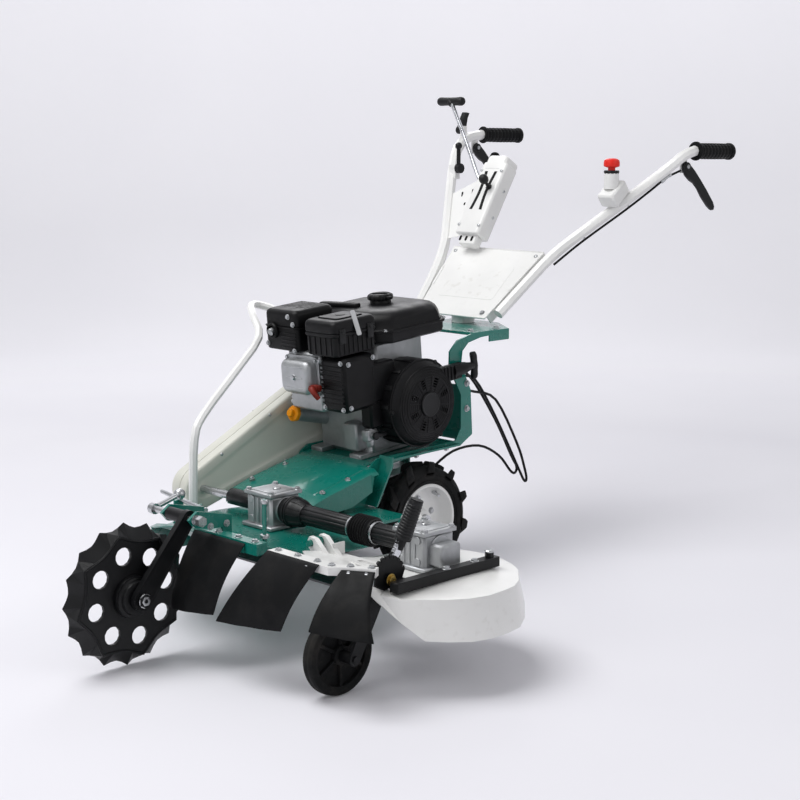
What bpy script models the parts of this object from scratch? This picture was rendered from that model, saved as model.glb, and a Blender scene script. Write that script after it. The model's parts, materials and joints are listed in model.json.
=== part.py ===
"""Wing mower: a two-wheeled walking mower with a main deck, a hinged wing deck and a spiked guide wheel.

Frame: +X is the operator's left, +Y the rear and +Z up. The machine is drawn about its own engine centre line
and drive axle, and is moved at the end so that the middle of its base lies on the origin.
"""

import math

import bmesh
import bpy
from mathutils import Matrix, Quaternion, Vector

# Clearance between pieces that touch
GAP = 0.0003

# Drive wheels and axle
WHEEL_RADIUS = 0.124
WHEEL_WIDTH = 0.052
WHEEL_X = 0.133
RIM_RADIUS = 0.075
RIM_SHEET = 0.003
AXLE_RADIUS = 0.0125
LUG_HEIGHT = 0.010
LUG_COUNT = 9

# Spiked guide wheel and its arm
DISC_CENTRE = Vector((0.180, -0.770, 0.129))
DISC_RADIUS = 0.129
DISC_VALLEY = 0.117
DISC_FACE_TIP = 0.114
DISC_FACE_VALLEY = 0.098
DISC_LOBES = 16
DISC_FACE_X = 0.006
DISC_EDGE_X = -0.012
DISC_SHEET = 0.004
DISC_HOLES = 8
DISC_HOLE_RADIUS = 0.0165
DISC_HOLE_CIRCLE = 0.075
DISC_HUB_RADIUS = 0.038
DISC_PIN_RADIUS = 0.008
ARM_X = 0.219
ARM_THICKNESS = 0.012
ARM_PIVOT = Vector((0.195, -0.668, 0.257))
PIVOT_ROD_RADIUS = 0.006

# Gauge wheel and height lever of the wing, placed from the wing's spindle
WING_X = 0.525
GAUGE_CENTRE = Vector((WING_X + 0.015, -0.605, 0.070))
GAUGE_RADIUS = 0.070
GAUGE_WIDTH = 0.026
GAUGE_PIN_RADIUS = 0.006
LEVER_PIVOT = Vector((WING_X + 0.055, -0.535, 0.195))
LEVER_PIN_RADIUS = 0.005
LEVER_PLATE = 0.006
LEVER_GRIP_RADIUS = 0.014

# Decks and blades
SHEET = 0.0025
SPINDLE_Y = -0.385
MAIN_X = 0.115
DECK_TOP = 0.175
BLADE_Z = 0.100
BLADE_THICKNESS = 0.004
BLADE_WIDTH = 0.050
MAIN_BLADE_RADIUS = 0.200
WING_BLADE_RADIUS = 0.145
SPINDLE_RADIUS = 0.010

# Rubber flaps and the bars that carry them
FLAP_SHEET = 0.004
FLAP_Y = -0.634
WING_FLAP_Y = -0.628
BAR_X = WING_X + 0.087

# Drive shaft between the two gearboxes; the wing's hinge line crosses it
SHAFT_Z = 0.213
SHAFT_RADIUS = 0.008
HINGE_X = 0.375
HINGE_PIN_RADIUS = 0.006
GEARBOX_HALF = 0.037
GEARBOX_BASE = 0.180
GEARBOX_TOP = 0.247
GUARD_RADIUS = 0.019
GUARD_BORE = 0.015
BOOT_RADIUS = 0.027
BOOT_RIBS = 4

# Engine, drawn about its crankshaft and leaned back with the body
CRANK_Y = 0.010
CRANK_Z = 0.370
ENGINE_LEAN = math.radians(5.0)
CRANK_RADIUS = 0.0125
ENGINE_BASE = -0.106
FAN_RADIUS = 0.078
HOUSING_RADIUS = 0.092
COCK_Y = -0.032 - 0.870 * HOUSING_RADIUS
COCK_Z = -0.0045 - 0.495 * HOUSING_RADIUS
RECOIL_RADIUS = 0.086
CAP_RADIUS = 0.027
TANK_FLOOR = 0.130

# Belt drive
BELT_X = -0.132
BELT_WIDTH = 0.012
BELT_THICKNESS = 0.008
ENGINE_PULLEY_RADIUS = 0.058
DECK_PULLEY_RADIUS = 0.026
COVER_INNER_X = -0.104
COVER_OUTER_X = -0.160
COVER_WALL = 0.0025

# Frame
RAIL_X = 0.118
RAIL_SHEET = 0.004
BED_Z = 0.256

# Handle
PIPE_RADIUS = 0.0125
GRIP_RADIUS = 0.0175
GRIP_LENGTH = 0.120
LEFT_GRIP = Vector((0.288, 0.722, 0.883))
RIGHT_GRIP = Vector((-0.366, 0.722, 0.918))
SWIVEL = Vector((-0.030, 0.300, 0.505))
HEAD_TOP = 0.502
PANEL_MIDDLE = Vector((-0.038, 0.356, 0.598))
PANEL_LEAN = math.radians(41)
PANEL_SPLAY = math.radians(9)
SWIVEL_RADIUS = 0.012
PANEL_SHEET = 0.003

COLLECTION = "wing_mower"
CUTTERS = "wing_mower_cutters"


# Scene, collections and materials

def clear_scene():
    for obj in list(bpy.data.objects):
        bpy.data.objects.remove(obj, do_unlink=True)


def collection(name):
    group = bpy.data.collections.new(name)
    bpy.context.scene.collection.children.link(group)
    return group


def material(name, colour, roughness, metallic=0.0):
    mat = bpy.data.materials.new(name)
    mat.use_nodes = True
    shader = mat.node_tree.nodes["Principled BSDF"]
    shader.inputs["Base Color"].default_value = (*colour, 1.0)
    shader.inputs["Roughness"].default_value = roughness
    shader.inputs["Metallic"].default_value = metallic
    return mat


def make_materials():
    return {
        "green": material("green_paint", (0.0, 0.30, 0.22), 0.35),
        "white": material("white_paint", (0.85, 0.85, 0.82), 0.40),
        "cream": material("cream_plastic", (0.78, 0.77, 0.70), 0.45),
        "black": material("black_plastic", (0.02, 0.02, 0.022), 0.45),
        "rubber": material("rubber", (0.02, 0.02, 0.02), 0.80),
        "steel": material("steel", (0.60, 0.60, 0.60), 0.35, 1.0),
        "cast": material("cast_aluminium", (0.50, 0.50, 0.50), 0.55, 1.0),
        "engine": material("engine_black", (0.015, 0.015, 0.016), 0.50),
        "amber": material("amber_plastic", (0.90, 0.42, 0.02), 0.35),
        "red": material("red_plastic", (0.75, 0.04, 0.02), 0.35),
        "blade": material("blade_steel", (0.20, 0.20, 0.21), 0.40, 1.0),
    }


# Work shapes: each returns a loose mesh or curve object that solid() joins into a named piece

def loose_mesh(bm):
    mesh = bpy.data.meshes.new("shape")
    bm.to_mesh(mesh)
    bm.free()
    obj = bpy.data.objects.new("shape", mesh)
    bpy.context.scene.collection.objects.link(obj)
    return obj


def block(size, centre, bevel=0.0, turn=None):
    """A box, turned about its own centre and with rounded edges when bevel is given."""
    bm = bmesh.new()
    bmesh.ops.create_cube(bm, size=1.0, matrix=Matrix.Diagonal((*size, 1.0)))
    obj = loose_mesh(bm)
    obj.location = centre
    if turn is not None:
        obj.rotation_euler = turn
    if bevel:
        round_edges(obj, bevel)
    return obj


def round_edges(obj, width, segments=1):
    modifier = obj.modifiers.new("Bevel", "BEVEL")
    modifier.width = width
    modifier.segments = segments
    modifier.limit_method = "ANGLE"
    modifier.angle_limit = math.radians(40)


def rod(radius, start, end, sides=12, end_radius=None):
    """A straight cylinder, or a cone when end_radius is given, from start to end."""
    start, end = Vector(start), Vector(end)
    along = end - start
    bm = bmesh.new()
    bmesh.ops.create_cone(
        bm, cap_ends=True, segments=sides, radius1=radius,
        radius2=radius if end_radius is None else end_radius, depth=along.length,
    )
    obj = loose_mesh(bm)
    obj.rotation_mode = "QUATERNION"
    obj.rotation_quaternion = along.to_track_quat("Z", "Y")
    obj.location = (start + end) / 2
    return obj


def bore(radius, start, end, sides=12):
    """A cutter for a hole whose flats clear a round pin of the given radius."""
    return rod((radius + GAP) / math.cos(math.pi / sides), start, end, sides)


def ball(radius, centre):
    bm = bmesh.new()
    bmesh.ops.create_uvsphere(bm, u_segments=10, v_segments=6, radius=radius)
    obj = loose_mesh(bm)
    obj.location = centre
    return obj


def turned(profile, centre, along, steps=20, closed=False):
    """A turned body: profile is a list of (radius, height) pairs, top to bottom, spun about along."""
    bm = bmesh.new()
    verts = [bm.verts.new((radius, 0.0, height)) for radius, height in profile]
    for first, second in zip(verts, verts[1:]):
        bm.edges.new((first, second))
    if closed:
        bm.edges.new((verts[-1], verts[0]))
    obj = loose_mesh(bm)
    screw = obj.modifiers.new("Screw", "SCREW")
    screw.steps = steps
    screw.render_steps = steps
    screw.use_merge_vertices = True
    screw.merge_threshold = 0.0001
    obj.rotation_mode = "QUATERNION"
    obj.rotation_quaternion = Vector(along).to_track_quat("Z", "Y") @ Quaternion((0, 0, 1), 0.11)
    obj.location = centre
    return obj


def tube(points, radius, resolution=2):
    """A round bar along straight runs between the points, with closed ends."""
    curve = bpy.data.curves.new("shape", "CURVE")
    curve.dimensions = "3D"
    curve.bevel_depth = radius
    curve.bevel_resolution = resolution
    curve.use_fill_caps = True
    spline = curve.splines.new("POLY")
    spline.points.add(len(points) - 1)
    for point, place in zip(spline.points, points):
        point.co = (*place, 1.0)
    obj = bpy.data.objects.new("shape", curve)
    bpy.context.scene.collection.objects.link(obj)
    return obj


def smooth(points, steps=3):
    """Points along a smooth curve through the given points."""
    points = [Vector(point) for point in points]
    ends = [2 * points[0] - points[1]] + points + [2 * points[-1] - points[-2]]
    out = []
    for i in range(1, len(ends) - 2):
        a, b, c, d = ends[i - 1:i + 3]
        for k in range(steps):
            t = k / steps
            out.append(0.5 * (2 * b + (c - a) * t + (2 * a - 5 * b + 4 * c - d) * t * t
                              + (3 * b - a - 3 * c + d) * t ** 3))
    return out + [points[-1]]


def slab(outline, thickness, frame, holes=()):
    """A flat plate: the outline and holes lie in the frame's XY plane, and the plate is centred on it."""
    curve = bpy.data.curves.new("shape", "CURVE")
    curve.dimensions = "2D"
    curve.fill_mode = "BOTH"
    curve.extrude = thickness / 2
    for ring in (outline, *holes):
        spline = curve.splines.new("POLY")
        spline.points.add(len(ring) - 1)
        for point, (x, y) in zip(spline.points, ring):
            point.co = (x, y, 0.0, 1.0)
        spline.use_cyclic_u = True
    obj = bpy.data.objects.new("shape", curve)
    bpy.context.scene.collection.objects.link(obj)
    obj.matrix_world = frame
    return obj


def side_frame(x):
    """The plane at one X whose own x and y are the machine's Y and Z."""
    return Matrix(((0, 0, 1, x), (1, 0, 0, 0), (0, 1, 0, 0), (0, 0, 0, 1)))


def flat_frame(z):
    return Matrix.Translation((0, 0, z))


def loft(rings, thickness=0.0, closed=True):
    """A skin through rings of points, made solid by thickness."""
    bm = bmesh.new()
    rows = [[bm.verts.new(point) for point in ring] for ring in rings]
    count = len(rings[0])
    for first, second in zip(rows, rows[1:]):
        for i in range(count if closed else count - 1):
            j = (i + 1) % count
            bm.faces.new((first[i], first[j], second[j], second[i]))
    obj = loose_mesh(bm)
    if thickness:
        shell = obj.modifiers.new("Solidify", "SOLIDIFY")
        shell.thickness = thickness
        shell.offset = 0.0
        shell.use_even_offset = True
    return obj


def circle(centre, radius, count=24, start=0.0):
    step = 2 * math.pi / count
    return [(centre[0] + radius * math.cos(start + step * i), centre[1] + radius * math.sin(start + step * i))
            for i in range(count)]


def stadium(first, first_radius, second, second_radius, count=8):
    """The outline of a belt run round two circles, counter-clockwise."""
    first, second = Vector(first), Vector(second)
    across = second - first
    base = math.atan2(across.y, across.x)
    lean = math.acos((first_radius - second_radius) / across.length)
    out = []
    for i in range(count + 1):
        angle = base + lean + (2 * math.pi - 2 * lean) * i / count
        out.append((first.x + first_radius * math.cos(angle), first.y + first_radius * math.sin(angle)))
    for i in range(count + 1):
        angle = base - lean + 2 * lean * i / count
        out.append((second.x + second_radius * math.cos(angle), second.y + second_radius * math.sin(angle)))
    return out


def polar_ring(centre, stations, count):
    """Points round a centre, from (degrees, radius, height) stations joined smoothly."""
    stations = sorted(stations)
    angles = [station[0] for station in stations]
    out = []
    for i in range(count):
        angle = angles[0] + 360.0 * i / count
        k = max(j for j in range(len(angles)) if angles[j] <= angle + 1e-9)
        near = stations[k]
        far = stations[(k + 1) % len(stations)]
        span = (far[0] - near[0]) % 360.0
        t = (angle - near[0]) / span
        t = t * t * (3 - 2 * t)
        radius = near[1] + (far[1] - near[1]) * t
        height = near[2] + (far[2] - near[2]) * t
        turn = math.radians(angle)
        out.append(Vector((centre.x + radius * math.cos(turn), centre.y + radius * math.sin(turn), height)))
    return out


# Joining and naming

def baked(obj, weld=0.00001):
    """The object as one plain mesh in world space, with loose caps welded and faces turned outward."""
    bpy.context.view_layer.update()
    graph = bpy.context.evaluated_depsgraph_get()
    mesh = bpy.data.meshes.new_from_object(obj.evaluated_get(graph))
    mesh.transform(obj.matrix_world)
    bm = bmesh.new()
    bm.from_mesh(mesh)
    bmesh.ops.remove_doubles(bm, verts=bm.verts, dist=weld)
    bmesh.ops.recalc_face_normals(bm, faces=bm.faces)
    bm.to_mesh(mesh)
    bm.free()
    result = bpy.data.objects.new("shape", mesh)
    bpy.context.scene.collection.objects.link(result)
    bpy.data.objects.remove(obj, do_unlink=True)
    return result


def combine(base, others, operation):
    """Join or cut meshes with the exact solver and drop what was used."""
    for other in others:
        modifier = base.modifiers.new(operation.title(), "BOOLEAN")
        modifier.operation = operation
        modifier.solver = "EXACT"
        modifier.object = other
    result = baked(base, 0.0000002)
    for other in others:
        bpy.data.objects.remove(other, do_unlink=True)
    return result


def simplify(mesh):
    """Merge faces that lie in one plane."""
    bm = bmesh.new()
    bm.from_mesh(mesh)
    bmesh.ops.dissolve_limit(bm, angle_limit=math.radians(0.4), verts=bm.verts, edges=bm.edges)
    bm.to_mesh(mesh)
    bm.free()


def solid(name, mat, shapes, cuts=(), origin=(0, 0, 0), smooth_angle=35):
    """One named piece: shapes joined, cuts taken out, and its origin set at a given point."""
    body = baked(shapes[0])
    if len(shapes) > 1:
        body = combine(body, [baked(shape) for shape in shapes[1:]], "UNION")
    if cuts:
        body = combine(body, [baked(cut) for cut in cuts], "DIFFERENCE")
    simplify(body.data)
    body.name = name
    body.data.name = name
    body.data.transform(Matrix.Translation(-Vector(origin)))
    body.location = origin
    body.data.shade_smooth()
    body.data.set_sharp_from_angle(angle=math.radians(smooth_angle))
    body.data.materials.clear()
    body.data.materials.append(mat)
    bpy.context.scene.collection.objects.unlink(body)
    bpy.data.collections[COLLECTION].objects.link(body)
    return body


def lean_matrix():
    return Matrix.Translation((0, CRANK_Y, CRANK_Z)) @ Matrix.Rotation(ENGINE_LEAN, 4, "X")


def leaned(shape):
    """Move a shape drawn about the crankshaft into the machine, leaned back with the engine."""
    bpy.context.view_layer.update()
    shape.matrix_world = lean_matrix() @ shape.matrix_world
    return shape


def engine_point(x, y, z):
    return lean_matrix() @ Vector((x, y, z))


def engine_solid(name, mat, shapes, cuts=(), origin=None, smooth_angle=35):
    place = Vector((0, CRANK_Y, CRANK_Z)) if origin is None else origin
    return solid(name, mat, [leaned(shape) for shape in shapes], [leaned(cut) for cut in cuts], place, smooth_angle)


# Drive wheels

def make_drive_axle(mats):
    half = WHEEL_X + 0.020
    shaft = rod(AXLE_RADIUS, (-half, 0, WHEEL_RADIUS), (half, 0, WHEEL_RADIUS))
    left_pin = rod(0.004, (WHEEL_X - 0.008, 0, WHEEL_RADIUS - 0.024), (WHEEL_X - 0.008, 0, WHEEL_RADIUS + 0.024), 12)
    right_pin = rod(0.004, (0.008 - WHEEL_X, 0, WHEEL_RADIUS - 0.024), (0.008 - WHEEL_X, 0, WHEEL_RADIUS + 0.024), 12)
    return solid("drive_axle", mats["steel"], [shaft, left_pin, right_pin], origin=(0, 0, WHEEL_RADIUS))


def make_rim(name, side, mats):
    """A dished rim: outer barrel with two lips, a sloping web and the hub that slides over the axle."""
    half = WHEEL_WIDTH / 2 - 0.002
    outer = RIM_RADIUS
    inner = RIM_RADIUS - RIM_SHEET
    inside = (AXLE_RADIUS + GAP) / math.cos(math.pi / 20)
    profile = [
        (inside, 0.012), (0.020, 0.012), (0.026, -0.008), (0.058, -0.012), (inner, 0.006), (inner, half),
        (outer + 0.004, half), (outer + 0.003, half - 0.004), (outer, half - 0.005), (outer, 0.005 - half),
        (outer + 0.003, 0.004 - half), (outer + 0.004, -half), (inner, -half), (0.058, -0.017), (inside, -0.018),
    ]
    centre = (side * WHEEL_X, 0, WHEEL_RADIUS)
    body = turned(profile, centre, (side, 0, 0), 20, closed=True)
    pin_hole = bore(0.004, (side * (WHEEL_X - 0.008), 0, WHEEL_RADIUS - 0.0245),
                   (side * (WHEEL_X - 0.008), 0, WHEEL_RADIUS + 0.0245), 12)
    return solid(name, mats["white"], [body], [pin_hole], origin=centre)


def make_tyre(name, side, mats):
    """A tyre with chevron lugs; its bead grips the rim between the two lips."""
    half = WHEEL_WIDTH / 2
    seat = RIM_RADIUS + GAP
    tread = WHEEL_RADIUS - LUG_HEIGHT
    profile = [
        (seat, half - 0.0075), (seat + 0.005, half - 0.006), (0.090, half - 0.001), (0.104, half - 0.002),
        (tread - 0.002, half - 0.008), (tread, 0.0), (tread - 0.002, 0.008 - half), (0.104, 0.002 - half),
        (0.090, 0.001 - half), (seat + 0.005, 0.006 - half), (seat, 0.0075 - half),
    ]
    centre = Vector((side * WHEEL_X, 0, WHEEL_RADIUS))
    shapes = [turned(profile, centre, (side, 0, 0), 20, closed=True)]
    for i in range(LUG_COUNT):
        for row in (-1, 1):
            angle = 2 * math.pi * (i + 0.25 * row) / LUG_COUNT
            lug = block((half - 0.001, 0.012, LUG_HEIGHT + 0.006), (0, 0, 0))
            place = Matrix.Translation(centre) @ Matrix.Rotation(angle, 4, "X")
            slide = Matrix.Translation((row * half / 2, 0, WHEEL_RADIUS - LUG_HEIGHT / 2 - 0.0035))
            lug.matrix_world = place @ slide @ Matrix.Rotation(row * math.radians(24), 4, "Z")
            shapes.append(lug)
    return solid(name, mats["rubber"], shapes, origin=centre)


# Guide wheel, its arm and the pivot rod

def wavy_ring(count, high, low, turn, total=64):
    """A closed outline with pointed tips and hollow valleys, as a pressed spiked wheel has."""
    out = []
    for i in range(total):
        angle = 2 * math.pi * i / total
        lift = 1 - abs(math.sin((angle - turn) * count / 2))
        radius = low + (high - low) * lift
        out.append((radius * math.cos(angle), radius * math.sin(angle)))
    return out


def axle_frame(centre):
    """The plane across the machine's X axis at one centre."""
    return Matrix.Translation(centre) @ side_frame(0.0)


def make_disc_wheel(mats):
    """A flat eight-pointed face with a crimped, toothed flange that flares back from it."""
    tooth = math.pi / DISC_LOBES
    face = wavy_ring(DISC_HOLES, DISC_FACE_TIP, DISC_FACE_VALLEY, tooth)
    edge = wavy_ring(DISC_LOBES, DISC_RADIUS - 0.00124, DISC_VALLEY, 0.0)
    rings = [[DISC_CENTRE + Vector((DISC_FACE_X - 0.0003, 0.983 * y, 0.983 * z)) for y, z in face],
             [DISC_CENTRE + Vector((DISC_EDGE_X, y, z)) for y, z in edge]]
    flange = loft(rings, DISC_SHEET)
    holes = []
    for i in range(DISC_HOLES):
        angle = 2 * math.pi * i / DISC_HOLES + tooth
        middle = (DISC_HOLE_CIRCLE * math.cos(angle), DISC_HOLE_CIRCLE * math.sin(angle))
        holes.append(circle(middle, DISC_HOLE_RADIUS, 12, 0.37 * i))
    plate = slab(face, 0.006, axle_frame(DISC_CENTRE + Vector((DISC_FACE_X, 0, 0))), holes)
    hub = rod(DISC_HUB_RADIUS, DISC_CENTRE - Vector((0.019, 0, 0)), DISC_CENTRE + Vector((0.021, 0, 0)), 16)
    nose = rod(DISC_HUB_RADIUS - 0.008, DISC_CENTRE + Vector((0.020, 0, 0)), DISC_CENTRE + Vector((0.030, 0, 0)), 16)
    hole = bore(DISC_PIN_RADIUS, DISC_CENTRE - Vector((0.03, 0, 0)), DISC_CENTRE + Vector((0.04, 0, 0)))
    return solid("disc_wheel", mats["black"], [flange, plate, hub, nose], [hole], origin=DISC_CENTRE)


def make_disc_arm(mats):
    """The arm from the pivot sleeve down to the wheel, with its wheel pin and nut."""
    sleeve = rod(0.012, (ARM_X - 0.052, ARM_PIVOT.y, ARM_PIVOT.z), (ARM_X + 0.006, ARM_PIVOT.y, ARM_PIVOT.z))
    outline = stadium((ARM_PIVOT.y, ARM_PIVOT.z), 0.014, (DISC_CENTRE.y, DISC_CENTRE.z), 0.019)
    plate = slab(outline, ARM_THICKNESS, side_frame(ARM_X))
    pin = rod(DISC_PIN_RADIUS, DISC_CENTRE - Vector((0.022, 0, 0)), (ARM_X + 0.010, DISC_CENTRE.y, DISC_CENTRE.z))
    head = rod(0.013, DISC_CENTRE - Vector((0.026, 0, 0)), DISC_CENTRE - Vector((0.020, 0, 0)), 6)
    nut = rod(0.013, (ARM_X + 0.005, DISC_CENTRE.y, DISC_CENTRE.z), (ARM_X + 0.014, DISC_CENTRE.y, DISC_CENTRE.z), 6)
    hole = bore(PIVOT_ROD_RADIUS, (0.10, ARM_PIVOT.y, ARM_PIVOT.z), (0.30, ARM_PIVOT.y, ARM_PIVOT.z))
    return solid("disc_arm", mats["black"], [sleeve, plate, pin, head, nut], [hole], origin=ARM_PIVOT)


def make_pivot_rod(mats):
    """The lateral rod the arm swings on; its bent end is the locking handle."""
    shaft = rod(PIVOT_ROD_RADIUS, (0.118, ARM_PIVOT.y, ARM_PIVOT.z), (0.262, ARM_PIVOT.y, ARM_PIVOT.z))
    collar = rod(0.010, (0.252, ARM_PIVOT.y, ARM_PIVOT.z), (0.262, ARM_PIVOT.y, ARM_PIVOT.z), 6)
    boss = rod(0.010, (0.112, ARM_PIVOT.y, ARM_PIVOT.z), (0.124, ARM_PIVOT.y, ARM_PIVOT.z), 12)
    handle = rod(0.005, (0.118, ARM_PIVOT.y, ARM_PIVOT.z), (0.118, ARM_PIVOT.y + 0.055, ARM_PIVOT.z + 0.016), 10)
    knob = ball(0.011, (0.118, ARM_PIVOT.y + 0.058, ARM_PIVOT.z + 0.017))
    return solid("pivot_rod", mats["steel"], [shaft, collar, boss, handle, knob], origin=ARM_PIVOT)


# Gauge wheel, height lever and quadrant

def make_gauge_wheel(mats):
    half = GAUGE_WIDTH / 2
    profile = [
        (0.054, half - 0.002), (0.060, half), (0.066, half - 0.002), (GAUGE_RADIUS, half - 0.007),
        (GAUGE_RADIUS, 0.007 - half), (0.066, 0.002 - half), (0.060, -half), (0.054, 0.002 - half),
    ]
    rim = turned(profile, GAUGE_CENTRE, (1, 0, 0), 20, closed=True)
    hub = rod(0.017, GAUGE_CENTRE - Vector((half, 0, 0)), GAUGE_CENTRE + Vector((half, 0, 0)))
    web = rod(0.056, GAUGE_CENTRE - Vector((0.002, 0, 0)), GAUGE_CENTRE + Vector((0.002, 0, 0)), 20)
    shapes = [rim, hub, web]
    for i in range(5):
        angle = 2 * math.pi * i / 5
        spoke = block((GAUGE_WIDTH - 0.008, 0.008, 0.044), (0, 0, 0))
        spoke.matrix_world = (Matrix.Translation(GAUGE_CENTRE) @ Matrix.Rotation(angle, 4, "X")
                              @ Matrix.Translation((0, 0, 0.035)))
        shapes.append(spoke)
    hole = bore(GAUGE_PIN_RADIUS, GAUGE_CENTRE - Vector((0.03, 0, 0)), GAUGE_CENTRE + Vector((0.03, 0, 0)))
    return solid("gauge_wheel", mats["black"], shapes, [hole], origin=GAUGE_CENTRE)


def make_height_lever(mats):
    """A cranked plate: grip above, pivot at the quadrant and the gauge wheel's pin below."""
    x = LEVER_PIVOT.x
    pivot = (LEVER_PIVOT.y, LEVER_PIVOT.z)
    wheel = (GAUGE_CENTRE.y, GAUGE_CENTRE.z)
    top = (LEVER_PIVOT.y + 0.034, LEVER_PIVOT.z + 0.050)
    lower = slab(stadium(pivot, 0.014, wheel, 0.012), LEVER_PLATE, side_frame(x))
    upper = slab(stadium(pivot, 0.014, top, 0.008), LEVER_PLATE, side_frame(x))
    ferrule = rod(0.009, (x, top[0] - 0.004, top[1] - 0.006), (x + 0.004, top[0] + 0.004, top[1] + 0.012), 12)
    grip = rod(LEVER_GRIP_RADIUS, (x + 0.004, top[0] + 0.004, top[1] + 0.010),
               (x + 0.020, top[0] + 0.022, top[1] + 0.078), 12, LEVER_GRIP_RADIUS - 0.002)
    pin = rod(GAUGE_PIN_RADIUS, (GAUGE_CENTRE.x - 0.017, *wheel), (x + 0.006, *wheel), 12)
    collar = rod(0.011, (GAUGE_CENTRE.x + 0.0136, *wheel), (x, *wheel), 12)
    head = rod(0.010, (GAUGE_CENTRE.x - 0.019, *wheel), (GAUGE_CENTRE.x - 0.0136, *wheel), 12)
    hole = bore(LEVER_PIN_RADIUS, (x - 0.02, *pivot), (x + 0.02, *pivot), 12)
    return solid("height_lever", mats["black"], [lower, upper, ferrule, grip, pin, collar, head], [hole],
                 origin=LEVER_PIVOT)


def make_wing_bar(mats):
    """The square bar on the wing with the toothed quadrant, its pin and the two bolts."""
    bar = block((0.020, 0.250, 0.018), (BAR_X, -0.420, DECK_TOP + 0.0105), 0.001)
    x = LEVER_PIVOT.x
    pivot = (LEVER_PIVOT.y, LEVER_PIVOT.z)
    teeth = []
    for i in range(9):
        angle = math.radians(20 + 15 * i)
        for radius, step in ((0.040, -4), (0.040, 4), (0.034, 5.5)):
            turn = angle + math.radians(step)
            teeth.append((pivot[0] + radius * math.cos(turn), pivot[1] + radius * math.sin(turn)))
    outline = teeth + [(pivot[0] - 0.030, pivot[1] - 0.006), (pivot[0] - 0.012, pivot[1] - 0.016),
                       (pivot[0] + 0.028, pivot[1] - 0.014)]
    near = slab(outline, 0.004, side_frame(x + 0.0075))
    rear_bolt = rod(0.008, (BAR_X, -0.312, DECK_TOP + 0.018), (BAR_X, -0.312, DECK_TOP + 0.030), 6)
    foot = block((0.020, 0.030, 0.014), (BAR_X - 0.016, -0.520, DECK_TOP + 0.0105))
    pin = rod(LEVER_PIN_RADIUS, (x - 0.012, *pivot), (x + 0.014, *pivot), 12)
    head = rod(0.010, (x - 0.014, *pivot), (x - 0.004, *pivot), 6)
    outer = rod(0.010, (x + 0.009, *pivot), (x + 0.016, *pivot), 6)
    return solid("wing_bar", mats["black"], [bar, near, rear_bolt, foot, pin, head, outer], origin=(BAR_X, -0.42, 0.19))


# Decks, blades and the wing's hinge

def deck_shell(centre, stations, mid_radius):
    """A pressed deck: flat top round the spindle, a shoulder and a skirt that follows the lip stations."""
    top = [(angle, mid_radius, DECK_TOP) for angle, radius, height in stations]
    shoulder = [(angle, radius - 0.012, max(height, DECK_TOP - 0.007)) for angle, radius, height in stations]
    rings = [
        polar_ring(centre, [(angle, 0.030, DECK_TOP) for angle, radius, height in stations], 32),
        polar_ring(centre, top, 32),
        polar_ring(centre, shoulder, 32),
        polar_ring(centre, stations, 32),
    ]
    return loft(rings, SHEET)


def hinge_post(x, y, reach):
    """A pin along the hinge line with the post that carries it; its foot reaches inward over the deck."""
    pin = rod(HINGE_PIN_RADIUS, (HINGE_X, y - 0.024, SHAFT_Z), (HINGE_X, y + 0.024, SHAFT_Z), 12)
    post = slab([(x - reach, DECK_TOP - 0.010), (x + 0.006, DECK_TOP - 0.012), (HINGE_X + 0.009, SHAFT_Z - 0.006),
                 (HINGE_X + 0.006, SHAFT_Z + 0.009), (HINGE_X - 0.008, SHAFT_Z + 0.008)], 0.008,
                Matrix(((1, 0, 0, 0), (0, 0, -1, y), (0, 1, 0, 0), (0, 0, 0, 1))))
    return [pin, post]


def wing_lug(y, base):
    """The eye of the wing that turns on a hinge pin."""
    plane = Matrix(((1, 0, 0, 0), (0, 0, -1, y), (0, 1, 0, 0), (0, 0, 0, 1)))
    return slab([(HINGE_X - 0.011, SHAFT_Z), (HINGE_X - 0.005, SHAFT_Z - 0.011), (HINGE_X + 0.036, base),
                 (HINGE_X + 0.066, base), (HINGE_X + 0.010, SHAFT_Z + 0.009),
                 (HINGE_X - 0.005, SHAFT_Z + 0.011)], 0.010, plane)


def make_main_deck(mats):
    centre = Vector((MAIN_X, SPINDLE_Y, 0))
    lip = [(-180, 0.212, 0.105), (-142, 0.224, 0.110), (-120, 0.236, 0.190), (-90, 0.222, 0.212),
           (-66, 0.252, 0.215), (-45, 0.318, 0.215), (-22, 0.236, 0.174), (0, 0.224, 0.168), (25, 0.232, 0.166),
           (55, 0.225, 0.130), (90, 0.216, 0.125), (135, 0.214, 0.112)]
    shapes = [deck_shell(centre, lip, 0.170)]
    bar_back = -0.607
    bar_front = FLAP_Y + FLAP_SHEET / 2 + GAP
    shapes.append(block((0.174, bar_back - bar_front, 0.0200), (0.277, (bar_back + bar_front) / 2, 0.2185)))
    shapes.append(block((0.2506, 0.0790, 0.0050), (0.1153, -0.1790, 0.1719)))
    for x in (0.160, 0.239):
        cheek = [(-0.588, 0.202), (-0.588, 0.254), (-0.664, 0.2715), (-0.683, 0.258), (-0.670, 0.2425),
                 (-0.626, 0.2345), (-0.6085, 0.2345), (-0.6085, 0.202)]
        shapes.append(slab(cheek, 0.006, side_frame(x)))
    shapes += hinge_post(0.345, -0.500, 0.031)
    shapes += hinge_post(0.345, -0.270, 0.050)
    shapes.append(rod(0.004, (0.338, -0.592, 0.205), (0.338, -0.592, 0.298), 10))
    hole = bore(PIVOT_ROD_RADIUS, (0.10, ARM_PIVOT.y, ARM_PIVOT.z), (0.30, ARM_PIVOT.y, ARM_PIVOT.z))
    return solid("main_deck", mats["green"], shapes, [hole], origin=centre)


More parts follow.
